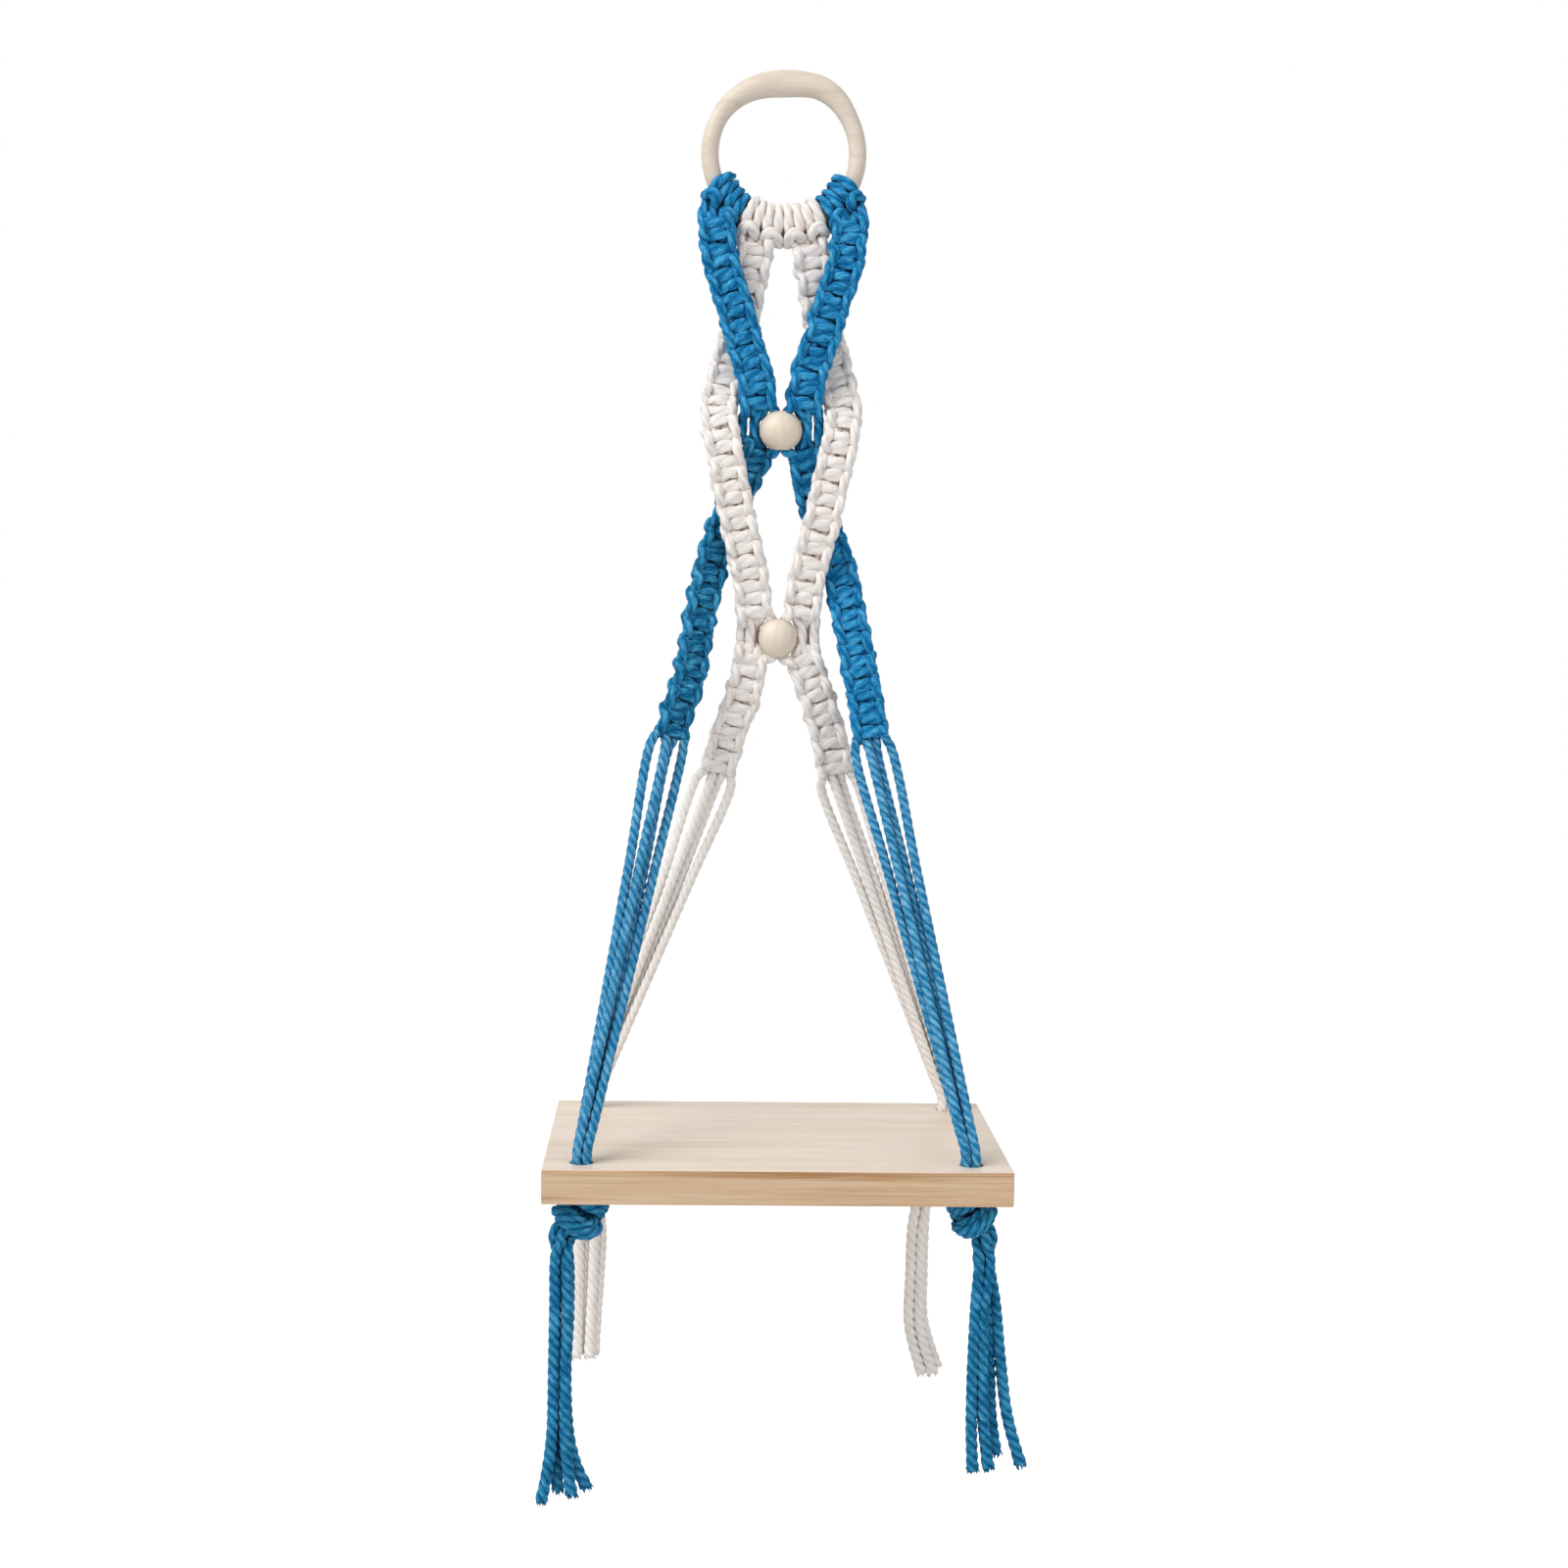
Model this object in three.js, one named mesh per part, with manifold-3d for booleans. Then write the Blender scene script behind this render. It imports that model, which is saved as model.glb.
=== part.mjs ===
// Hanging macrame planter: a turned ring carries eight folded cords, knotted into four flat straps.
// Two wooden beads hold the straps together, and sixteen loose cords carry a small shelf board.
// Millimetres, +X to the right, +Y to the wall, +Z up. The origin is where the ring sits on its hook.
import * as THREE from 'three';
import { mergeVertices } from 'three/addons/utils/BufferGeometryUtils.js';
import Module from 'manifold-3d';

// ---- Driving dimensions ---------------------------------------------------------------------

const clearance = 0.3; // air between two pieces that touch
const wallGap = 10; // from the ring's plane to the wall behind

const ringInnerDiameter = 59;
const ringSection = 8.5;

const cordDiameter = 4.8; // relaxed, in the loops, the knots and the tassels
const tautDiameter = 4.2; // drawn thin by the load
const strandGap = 0.5; // between taut cords side by side

const loopSlack = 0.4; // between a loop and the wood that it grips
const colourGap = 1.4; // between the white loops and the blue ones, in degrees round the ring
const strapDrop = 0.9; // from the loops down to the top of a strap

const strapThickness = 9.6;
const strapBulge = 8.7; // half the strap's width at the loop of a knot
const strapWaist = 7.6; // half its width between two loops
const halfKnot = 5.8; // from one half knot to the next

const upperBead = { diameter: 19.6, height: 17.8, drop: 156.5, forward: 16 };
const lowerBead = { diameter: 17.8, height: 17.4, drop: 251, forward: 19 };

const blueStrapEnd = 296; // drop of the blue straps' lower ends below the hook
const whiteStrapEnd = 314;

const board = { width: 200, depth: 140, thickness: 15, drop: 473, easing: 0.8 };
const hole = { diameter: 12, fromSide: 16, fromEdge: 14 };

const knot = { radius: 8.2, turn: 7.3, cord: 4.2, height: 18 };
const neckRadius = 4.3; // of the cords gathered where they leave a knot
const neckLength = 0.6; // from the knot's foot to the middle of the neck's round end

// ---- Colours --------------------------------------------------------------------------------

const paleWood = { color: 0xe9d9c2, roughness: 0.55, metalness: 0 };
const pine = { color: 0xdcc2a0, roughness: 0.6, metalness: 0 };
const blueCotton = { color: 0x1f82bd, roughness: 0.95, metalness: 0 };
const whiteCotton = { color: 0xe8e2dc, roughness: 0.95, metalness: 0 };

// ---- Small tools ----------------------------------------------------------------------------

const wasm = await Module();
wasm.setup();

const planter = new THREE.Group();
const point = (x, forward, drop) => new THREE.Vector3(x, -forward, -drop);
const sides = [['left', -1], ['right', 1]];

function addPiece(name, geometry, finish) {
  const mesh = new THREE.Mesh(geometry, new THREE.MeshStandardMaterial(finish));
  mesh.name = name;
  planter.add(mesh);
}

function toSolid(geometry) {
  const bare = geometry.clone();
  bare.deleteAttribute('normal');
  bare.deleteAttribute('uv');
  const merged = mergeVertices(bare, 1e-4);
  return new wasm.Manifold(new wasm.Mesh({
    numProp: 3,
    vertProperties: new Float32Array(merged.attributes.position.array),
    triVerts: new Uint32Array(merged.index.array),
  }));
}

function toGeometry(solid) {
  const mesh = solid.getMesh();
  const geometry = new THREE.BufferGeometry();
  geometry.setAttribute('position', new THREE.BufferAttribute(mesh.vertProperties, 3));
  geometry.setIndex(new THREE.BufferAttribute(mesh.triVerts, 1));
  return geometry;
}

const joined = (geometries) => geometries.map(toSolid).reduce((whole, next) => whole.add(next));

/** A round cord along a smooth line through the points. */
function cordAlong(points, diameter, steps, facets = 8) {
  const section = new THREE.Shape(new THREE.EllipseCurve(0, 0, diameter / 2, diameter / 2)
    .getPoints(facets).slice(0, facets));
  const line = new THREE.CatmullRomCurve3(points, false, 'centripetal');
  return new THREE.ExtrudeGeometry(section, { extrudePath: line, steps, bevelEnabled: false });
}

/** A closed profile, [radius, height] pairs, turned round the Z axis. */
function turned(profile, facets) {
  const outline = [...profile, profile[0]].map(([radius, height]) => new THREE.Vector2(radius, height));
  return new THREE.LatheGeometry(outline, facets).rotateX(Math.PI / 2);
}

/** Points round a circle, as a profile for turned(). */
function roundProfile(centreRadius, radius, facets) {
  return Array.from({ length: facets }, (_, i) => {
    const angle = (2 * Math.PI * i) / facets;
    return [centreRadius + radius * Math.cos(angle), radius * Math.sin(angle)];
  });
}

// ---- Ring -----------------------------------------------------------------------------------

const ringCentreDrop = ringInnerDiameter / 2;
const ringCentreRadius = (ringInnerDiameter + ringSection) / 2;

addPiece('ring', turned(roundProfile(ringCentreRadius, ringSection / 2, 10), 40)
  .rotateX(Math.PI / 2).translate(0, 0, -ringCentreDrop), paleWood);

// ---- Loops that hold the cords on the ring ---------------------------------------------------

const loopRadius = ringSection / 2 + loopSlack + cordDiameter / 2;
const loopReach = ringCentreRadius + loopRadius + cordDiameter / 2;
const loopPitch = (cordDiameter + clearance) / ringCentreRadius;

/** Geometry made at the ring's centre, turned to an angle from the ring's lowest point. */
const roundRing = (geometry, angle) => geometry.rotateY(-angle).translate(0, 0, -ringCentreDrop);

/** The wedge of the ring that one folded cord has to itself. */
function cordWedge(angle) {
  const far = 2 * loopReach;
  const apex = clearance / 2 / Math.sin(loopPitch);
  const halfWidth = (far - apex) * Math.tan(loopPitch);
  const depth = 4 * loopRadius;
  const outline = new THREE.Shape([
    new THREE.Vector2(0, -apex), new THREE.Vector2(-halfWidth, -far), new THREE.Vector2(halfWidth, -far),
  ]);
  const wedge = new THREE.ExtrudeGeometry(outline, { depth, bevelEnabled: false });
  return toSolid(roundRing(wedge.rotateX(Math.PI / 2).translate(0, depth / 2, 0), angle));
}

/**
 * One folded cord hitched on the ring: two turns round the wood and the bar that crosses in front
 * below them. Turns are counted from the ring's lowest point, to the right.
 */
function mountKnot(firstTurn, extraAngle) {
  const middle = (firstTurn + 0.5) * loopPitch + extraAngle;
  const place = (geometry, angle) => roundRing(geometry.translate(0, 0, -ringCentreRadius), angle);
  const turns = [-0.5, 0.5].map((step) => place(
    turned(roundProfile(loopRadius, cordDiameter / 2, 6), 10).rotateY(Math.PI / 2),
    middle + step * loopPitch,
  ));
  const barSlope = THREE.MathUtils.degToRad(35);
  const barReach = loopRadius + 0.65 * cordDiameter;
  const barHalf = cordDiameter / 2;
  const barPoints = [[-1, -0.6], [-0.6, -0.12], [0, 0], [0.6, -0.12], [1, -0.6]].map(([along, out]) => {
    const reach = barReach + out * cordDiameter;
    return point(along * barHalf, reach * Math.cos(barSlope), reach * Math.sin(barSlope));
  });
  const bar = place(cordAlong(barPoints, cordDiameter, 4, 6), middle);
  return toGeometry(joined([...turns, bar]).intersect(cordWedge(middle)));
}

for (const [side, sign] of sides) {
  for (const place of [1, 2]) {
    const steps = 2 * place - 1.5; // the nearer turn of this cord, counted from the ring's middle
    const turnOf = (turn) => (sign > 0 ? turn : -turn - 1);
    addPiece(`white_${side}_mount_${place}`, mountKnot(turnOf(steps), 0), whiteCotton);
    const gapAngle = sign * THREE.MathUtils.degToRad(colourGap);
    addPiece(`blue_${side}_mount_${place}`, mountKnot(turnOf(steps + 4), gapAngle), blueCotton);
  }
}

// ---- Beads ----------------------------------------------------------------------------------

const strandSpread = (tautDiameter + strandGap) / 2; // two strands side by side in a bead
const boreRadius = (strandSpread + tautDiameter / 2 + clearance) / Math.cos(Math.PI / 16);

function beadGeometry({ diameter, height, drop, forward }) {
  const endAngle = Math.acos(boreRadius / (diameter / 2));
  const arc = Array.from({ length: 9 }, (_, i) => {
    const angle = endAngle * (i / 4 - 1);
    return [(diameter / 2) * Math.cos(angle), (height / 2) * (Math.sin(angle) / Math.sin(endAngle))];
  });
  return turned(arc, 16).translate(0, -forward, -drop);
}

addPiece('upper_bead', beadGeometry(upperBead), paleWood);
addPiece('lower_bead', beadGeometry(lowerBead), paleWood);

// ---- Knotted straps -------------------------------------------------------------------------

/**
 * A flat strap of square knots along a line: its edges bulge where a knot's loop turns, the left
 * and the right edge in turn.
 */
function strapAlong(points) {
  const line = new THREE.CatmullRomCurve3(points, false, 'centripetal');
  const count = Math.max(2, Math.round(line.getLength() / halfKnot));
  const half = strapThickness / 2;
  const positions = [];
  for (let i = 0; i <= count; i += 1) {
    const centre = line.getPointAt(i / count);
    const level = i === 0 || i === count;
    const tangent = level ? new THREE.Vector3(0, 0, -1) : line.getTangentAt(i / count);
    const across = new THREE.Vector3(0, -1, 0).cross(tangent).normalize();
    const out = across.clone().cross(tangent);
    const left = i % 2 ? strapWaist : strapBulge;
    const right = i % 2 ? strapBulge : strapWaist;
    const section = [
      [right, -0.45], [right, 0.45], [0.6 * right, 1], [-0.6 * left, 1],
      [-left, 0.45], [-left, -0.45], [-0.6 * left, -1], [0.6 * right, -1],
    ];
    for (const [x, y] of section) {
      positions.push(...centre.clone().addScaledVector(across, x).addScaledVector(out, y * half));
    }
  }
  const ring = 8;
  const index = [];
  for (let i = 0; i < count; i += 1) {
    for (let k = 0; k < ring; k += 1) {
      const [a, b] = [i * ring + k, i * ring + ((k + 1) % ring)];
      index.push(a, b + ring, b, a, a + ring, b + ring);
    }
  }
  const last = count * ring;
  for (let k = 1; k < ring - 1; k += 1) {
    index.push(0, k, k + 1, last, last + k + 1, last + k);
  }
  const geometry = new THREE.BufferGeometry();
  geometry.setAttribute('position', new THREE.Float32BufferAttribute(positions, 3));
  geometry.setIndex(index);
  return geometry;
}

/** Strap points, [from the middle, forward, share of the way down], between two drops. */
const strapLine = (sign, from, to, rows) => rows.map(([out, forward, share]) => (
  point(sign * out, forward, from + (to - from) * share)));

/** The cylinder that the loops sweep when they slide round the ring, which the straps stay out of. */
const roomRadius = loopReach + strapDrop;
const loopsRoom = toSolid(new THREE.CylinderGeometry(roomRadius, roomRadius, 8 * strapThickness, 64)
  .translate(0, 0, -ringCentreDrop));

const strandRun = 1.6; // how far the strands run on between a bead and the knots above and below
const strandRoot = 3; // how deep a strand starts inside its strap

/** The strands of a strap on their way past a bead: one through its bore and three beside it. */
function beadStrands(sign, bead, strapX, rows) {
  const top = bead.drop - bead.height / 2 - strandRun - strandRoot;
  const bottom = bead.drop + bead.height / 2 + strandRun;
  const beside = bead.diameter / 2 + clearance + tautDiameter / 2;
  const through = [
    point(sign * (strapX - 4.6), bead.forward, top),
    point(sign * (strandSpread + 0.3), bead.forward, top + strandRoot),
    point(sign * strandSpread, bead.forward, top + strandRoot + strandRun),
    point(sign * strandSpread, bead.forward, bottom),
  ];
  return [
    cordAlong(through, tautDiameter, 5),
    ...rows.map(([out, behind]) => cordAlong([
      point(sign * Math.min(beside + out, strapX + strapWaist - 2.2), bead.forward - behind / 2, top),
      point(sign * (beside + out), bead.forward - behind, top + strandRoot + strandRun),
      point(sign * (beside + out), bead.forward - behind, bottom),
    ], tautDiameter, 2)),
  ];
}

function strapPair(colour, finish, bead, upperRows, besideRows, lowerRows, end) {
  const upperEnd = bead.drop - bead.height / 2 - strandRun;
  const lowerStart = bead.drop + bead.height / 2 + strandRun + clearance;
  for (const [side, sign] of sides) {
    const upper = strapAlong(strapLine(sign, ringCentreDrop, upperEnd, upperRows));
    const strands = beadStrands(sign, bead, upperRows.at(-1)[0], besideRows);
    const solid = joined([upper, ...strands]).subtract(loopsRoom);
    addPiece(`${colour}_${side}_upper_strap`, toGeometry(solid), finish);
    const lower = strapAlong(strapLine(sign, lowerStart, end, lowerRows));
    addPiece(`${colour}_${side}_lower_strap`, lower, finish);
  }
}

const blueUpper = [
  [31.5, 5, 0], [31, 7, 0.18], [30.2, 9, 0.31], [28.6, 11.5, 0.43],
  [22.6, 14, 0.59], [17.3, 15.5, 0.75], [12, 16, 0.88], [10.5, 16, 1],
];
const blueBeside = [[0, 0], [2.5, 7.1], [5, 2.7]]; // out from the bead's side, behind its middle
const blueLower = [
  [12, 10.8, 0], [14.6, 9.2, 0.12], [21.7, 8.4, 0.28], [28.7, 12, 0.42],
  [33.9, 20.4, 0.56], [38.6, 31.6, 0.76], [45.2, 45.6, 1],
];
const whiteUpper = [
  [12.4, 4, 0], [12.6, 4, 0.2], [16.2, 2.4, 0.3], [20.8, 2.2, 0.4], [25.6, 4.4, 0.485],
  [28.4, 11.5, 0.547], [27.8, 18.6, 0.6], [25.6, 20.8, 0.65], [22, 21, 0.73],
  [18, 20.8, 0.82], [12.8, 19.6, 0.92], [10.8, 19, 1],
];
const whiteBeside = [[0, 0], [4, 3], [7.4, 0]];
const whiteLower = [
  [12.4, 19, 0], [17.4, 18, 0.34], [23.6, 16.6, 0.68], [28, 15.4, 1],
];

strapPair('blue', blueCotton, upperBead, blueUpper, blueBeside, blueLower, blueStrapEnd);
strapPair('white', whiteCotton, lowerBead, whiteUpper, whiteBeside, whiteLower, whiteStrapEnd);

// ---- Shelf board ----------------------------------------------------------------------------

const holeX = board.width / 2 - hole.fromSide;
const boardMiddle = board.depth / 2 - wallGap; // forward of the ring's plane
const holeForward = { blue: board.depth - wallGap - hole.fromEdge, white: hole.fromEdge - wallGap };

function boardGeometry() {
  const { width, depth, thickness, easing } = board;
  const [halfWidth, halfDepth] = [width / 2 - easing, depth / 2 - easing];
  const outline = new THREE.Shape([
    new THREE.Vector2(-halfWidth, -halfDepth), new THREE.Vector2(halfWidth, -halfDepth),
    new THREE.Vector2(halfWidth, halfDepth), new THREE.Vector2(-halfWidth, halfDepth),
  ]);
  for (const [, sign] of sides) {
    for (const forward of Object.values(holeForward)) {
      const bore = new THREE.Path();
      bore.absarc(sign * holeX, boardMiddle - forward, hole.diameter / 2 + easing, 0, 2 * Math.PI, true);
      outline.holes.push(bore);
    }
  }
  return new THREE.ExtrudeGeometry(outline, {
    depth: thickness - 2 * easing,
    bevelEnabled: true,
    bevelThickness: easing,
    bevelSize: easing,
    bevelSegments: 1,
    curveSegments: 7,
  }).translate(0, -boardMiddle, -board.drop - thickness + easing);
}

addPiece('shelf_board', boardGeometry(), pine);

// ---- Leg cords, knots and tassels -----------------------------------------------------------

const boardUnderside = board.drop + board.thickness;
const bundle = (tautDiameter + strandGap) / 2; // four cords side by side in a hole
const legStart = 1.3; // from the end of a strap down to the slanting ends of its leg cords
const bendHeight = 5; // above the board, where a leg cord turns down into its hole

/** Where each leg cord leaves its strap, [right, forward], and its corner of the bundle below. */
const legPlaces = [
  [[-7.9, -0.5], [-1, -1]], [[-1.7, 1.7], [-1, 1]], [[1.7, -1.7], [1, -1]], [[7.9, 0.5], [1, 1]],
];

/** The four cords from the end of a strap, straight to the hole and down through it. */
function addLegs(colour, side, sign, finish, [strapX, strapForward], strapEnd) {
  legPlaces.forEach(([[right, ahead], [column, row]], i) => {
    const inHole = [sign * holeX + column * bundle, holeForward[colour] + row * bundle];
    const start = point(sign * strapX + right, strapForward + ahead, strapEnd + legStart);
    const mouth = point(...inHole, board.drop - bendHeight);
    const near = mouth.clone().lerp(start, 0.06);
    const points = [
      start,
      start.clone().lerp(near, 0.33),
      start.clone().lerp(near, 0.67),
      near,
      mouth,
      point(...inHole, board.drop + bendHeight),
      point(...inHole, boardUnderside - clearance),
    ];
    addPiece(`${colour}_${side}_leg_${i + 1}`, cordAlong(points, tautDiameter, 10), finish);
  });
}

/** A lumpy overhand knot of the four cords, with the round-ended neck that the tassel hangs from. */
function knotGeometry(x, forward, neckShift) {
  const half = knot.height / 2;
  const middle = boardUnderside + clearance + half;
  const core = new THREE.SphereGeometry(knot.radius, 8, 6).rotateX(Math.PI / 2)
    .scale(1, 1, half / knot.radius);
  const turn = (tilt, z) => new THREE.TorusGeometry(knot.turn, knot.cord, 6, 10)
    .rotateY(tilt).translate(0, 0, z);
  const neck = cordAlong([
    point(0, 0, 0), point(0.8 * neckShift, 0, 0.6 * half), point(neckShift, 0, half + neckLength),
  ], 2 * neckRadius, 1);
  const neckTip = new THREE.SphereGeometry(neckRadius, 8, 4).rotateX(Math.PI / 2)
    .translate(neckShift, 0, -half - neckLength);
  return toGeometry(joined([core, turn(0.24, 2.6), turn(-0.26, -2.5), neck, neckTip])
    .translate([x, -forward, -middle]));
}

const neckDrop = boardUnderside + clearance + knot.height + neckLength;
const tasselTop = neckDrop + neckRadius + 0.4 * clearance;

/**
 * Each tassel cord: points as [to the right of the neck, forward of it, below its end], chosen to
 * hang and part as limp cords do.
 */
const tassels = {
  blue_left: {
    shift: -6,
    cords: [
      [[-2.5, 2.5, 0.4], [-3.6, 3, 22], [-4.2, 3.2, 50], [-5.2, 3.6, 80], [-8, 4.6, 106]],
      [[2.5, 2.5, 0.4], [2.4, 3.1, 25], [1.4, 3.6, 55], [0.4, 4, 82], [-1.6, 5, 104]],
      [[-2.5, -2.5, 0.4], [-2.2, -3, 30], [0.6, -2.6, 60], [2.8, -1.4, 84], [4.2, 0.4, 104]],
      [[2.5, -2.5, 0.4], [4.2, -3, 26], [6.2, -2.8, 56], [8.4, -2.4, 82], [11.4, -2, 102]],
    ],
  },
  blue_right: {
    shift: 5,
    cords: [
      [[-2.5, 2.5, 0.4], [-3, 3.4, 26], [-3.2, 3.8, 56], [-2.8, 4, 76], [-2.6, 4.2, 94]],
      [[2.5, 2.5, 0.4], [2.8, 3.2, 22], [3, 3.6, 50], [3.6, 3.8, 74], [4.2, 4, 93]],
      [[-2.5, -2.5, 0.4], [-1.2, -3, 24], [2.4, -3.2, 50], [5.8, -3, 72], [8.4, -2.8, 90]],
      [[2.5, -2.5, 0.4], [5.4, -2.4, 24], [9, -1.6, 48], [12.4, -0.8, 72], [17.4, 0.2, 93]],
    ],
  },
  white_left: {
    shift: -1,
    cords: [
      [[-2.5, 2.5, 0.4], [-3.4, 2.6, 20], [-4, 2.6, 40], [-4.6, 2.8, 62], [-5, 3, 81]],
      [[2.5, 2.5, 0.4], [2.8, 2.7, 22], [2.2, 2.8, 44], [1.6, 3, 64], [1.4, 3.2, 81]],
      [[-2.5, -2.5, 0.4], [-3.2, -2.6, 20], [-3.6, -2.6, 42], [-3.2, -2.6, 62], [-3, -2.6, 79]],
      [[2.5, -2.5, 0.4], [3.2, -2.6, 22], [3, -2.6, 42], [2.8, -2.6, 62], [2.4, -2.6, 80]],
    ],
  },
  white_right: {
    shift: -6,
    cords: [
      [[-2.5, 2.5, 0.4], [-5.8, 2.6, 18], [-7.6, 2.6, 40], [-6.6, 2.8, 66], [-3.4, 3.4, 88]],
      [[2.5, 2.5, 0.4], [-0.6, 2.7, 20], [-2.2, 2.8, 42], [-0.8, 3, 66], [3, 3.6, 88]],
      [[-2.5, -2.5, 0.4], [-5.4, -2.6, 18], [-7, -2.6, 40], [-5.6, -2.6, 64], [-1.8, -2.2, 85]],
      [[2.5, -2.5, 0.4], [-0.2, -2.6, 20], [-1.6, -2.6, 42], [0.2, -2.4, 64], [4.2, -1.8, 86]],
    ],
  },
};

const corners = [
  ['blue', blueCotton, blueLower.at(-1), blueStrapEnd],
  ['white', whiteCotton, whiteLower.at(-1), whiteStrapEnd],
];
for (const [colour, finish, strapFoot, strapEnd] of corners) {
  for (const [side, sign] of sides) {
    addLegs(colour, side, sign, finish, strapFoot, strapEnd);
    const { shift, cords } = tassels[`${colour}_${side}`];
    const forward = holeForward[colour];
    addPiece(`${colour}_${side}_knot`, knotGeometry(sign * holeX, forward, shift), finish);
    cords.forEach((rows, i) => {
      const points = rows.map(([right, ahead, down]) => (
        point(sign * holeX + shift + right, forward + ahead, tasselTop + down)));
      addPiece(`${colour}_${side}_tassel_${i + 1}`, cordAlong(points, cordDiameter, 7), finish);
    });
  }
}

export default planter;
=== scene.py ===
"""Hanging macrame planter: the looks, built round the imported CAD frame.

Every cord is a three-ply twisted cotton cord, swept along its real route: hitched on the ring, tied
into flat straps of square knots, led past two wooden beads, down to the shelf board, through its
holes into overhand knots, and out as tassels. Lengths are in millimetres until a mesh is made.
"""
import math

import bpy
import numpy as np
from mathutils import Matrix, Vector


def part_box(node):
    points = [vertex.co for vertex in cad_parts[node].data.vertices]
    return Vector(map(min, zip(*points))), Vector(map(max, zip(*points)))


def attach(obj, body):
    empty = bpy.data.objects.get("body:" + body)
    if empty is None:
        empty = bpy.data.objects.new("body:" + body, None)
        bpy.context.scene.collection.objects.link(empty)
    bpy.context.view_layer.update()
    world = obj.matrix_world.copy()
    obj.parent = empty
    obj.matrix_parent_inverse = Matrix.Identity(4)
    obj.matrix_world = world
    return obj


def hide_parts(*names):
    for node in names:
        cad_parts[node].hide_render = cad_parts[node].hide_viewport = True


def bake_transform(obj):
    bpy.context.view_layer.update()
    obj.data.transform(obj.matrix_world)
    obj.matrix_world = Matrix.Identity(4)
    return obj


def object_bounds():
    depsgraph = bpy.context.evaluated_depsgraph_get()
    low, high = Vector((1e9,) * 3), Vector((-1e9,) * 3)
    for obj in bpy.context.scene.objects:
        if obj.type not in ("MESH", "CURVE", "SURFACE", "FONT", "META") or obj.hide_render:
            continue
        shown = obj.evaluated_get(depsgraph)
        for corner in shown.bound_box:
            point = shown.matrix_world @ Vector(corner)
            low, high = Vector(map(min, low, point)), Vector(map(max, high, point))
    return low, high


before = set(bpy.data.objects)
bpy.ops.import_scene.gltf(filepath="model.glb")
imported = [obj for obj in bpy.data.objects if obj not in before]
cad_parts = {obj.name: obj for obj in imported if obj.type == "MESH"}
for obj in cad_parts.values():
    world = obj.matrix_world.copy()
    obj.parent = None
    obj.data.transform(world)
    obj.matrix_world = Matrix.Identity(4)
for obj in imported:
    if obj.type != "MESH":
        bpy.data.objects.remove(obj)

cad_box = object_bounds()

MM = 0.001
SIDES = (("left", -1), ("right", 1))
CORNERS = [(colour, side, sign) for colour in ("blue", "white") for side, sign in SIDES]
random = np.random.default_rng(7)


def point(x, forward, drop):
    """A place by its distance to the right, towards the viewer and below the hook."""
    return np.array([x, -forward, -drop], float)


def node_box(name):
    """The low and the high corner of a solid's box, in millimetres."""
    return np.array(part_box(name)) / MM


def new_object(name, data):
    thing = bpy.data.objects.new(name, data)
    bpy.context.scene.collection.objects.link(thing)
    return thing


# ---- Sizes ----
# Those of the wood come from the frame. The cords' routes keep close to the frame's solids.

ring_low, ring_high = node_box("ring")
RING_SECTION = ring_high[1] - ring_low[1]
RING_RADIUS = (ring_high[0] - ring_low[0] - RING_SECTION) / 2  # of the wood's middle line
RING_DROP = -(ring_low[2] + ring_high[2]) / 2

board_low, board_high = node_box("shelf_board")
BOARD_DROP = -board_high[2]
BOARD_UNDERSIDE = -board_low[2]
HOLE_DIAMETER = 9.8
HOLE_FROM_SIDE = 16
HOLE_FROM_EDGE = 14
HOLE_X = board_high[0] - HOLE_FROM_SIDE
HOLE_FORWARD = {"blue": -board_low[1] - HOLE_FROM_EDGE, "white": -board_high[1] + HOLE_FROM_EDGE}
# How far to the right of a hole's even place its cords lie, and the hole's share in that.
IN_HOLE = {"blue_left": 0.7, "blue_right": -1.3, "white_left": 0.7, "white_right": -0.2}
HOLE_SHARE = 0.6

# Diameters of the cord.
RELAXED = 5.4  # in the tassels
LOOP_CORD = 5.1  # on the ring
KNOT_CORD = 5.0  # in the straps
NECK_CORD = 4.8  # where a tassel begins
TAUT = 4.5  # in the legs, under load

LAY_LENGTH = 13.5  # along a free cord, for one full turn of its plies
KNOTTED_LAY = 24  # the same along a cord in a knot, where it is partly untwisted
CLEARANCE = 0.3

LOOPS = (1, 2)  # for each strap, numbered from the middle outwards
LOOP_PITCH = math.degrees(LOOP_CORD / RING_RADIUS)  # from one turn of cord to the next
COLOUR_GAP = 1.4  # degrees round the ring between the white loops and the blue ones

HALF_KNOT = 5.8  # length of a half knot along its strap
STRAND_RUN = 1.6  # between a strap and its bead
STRAND_SPREAD = 2.35  # of the two cords in a bead, from its middle
BUNDLE = 2.05  # of the four cords in a hole, from their middle both ways
LEG_START = 1.3  # below the foot of a strap
BEND_HEIGHT = 5  # above and below the board's top, where a leg bends into its hole
KNOT_HEIGHT = 18
NECK_RADIUS = 4.3  # from a tassel's pivot down to its cords
NECK_SPREAD = 2.4  # of the four cords in a neck, from their middle both ways
NECK_DROP = BOARD_UNDERSIDE + CLEARANCE + KNOT_HEIGHT + 0.6
TASSEL_TOP = NECK_DROP + NECK_RADIUS + 0.12


def bead_sizes(name):
    """Diameter, height and place of a bead."""
    low, high = node_box(name)
    middle = (low + high) / 2
    return {
        "diameter": high[0] - low[0], "height": high[2] - low[2],
        "drop": -middle[2], "forward": -middle[1],
    }


BEADS = {"blue": bead_sizes("upper_bead"), "white": bead_sizes("lower_bead")}

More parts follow.
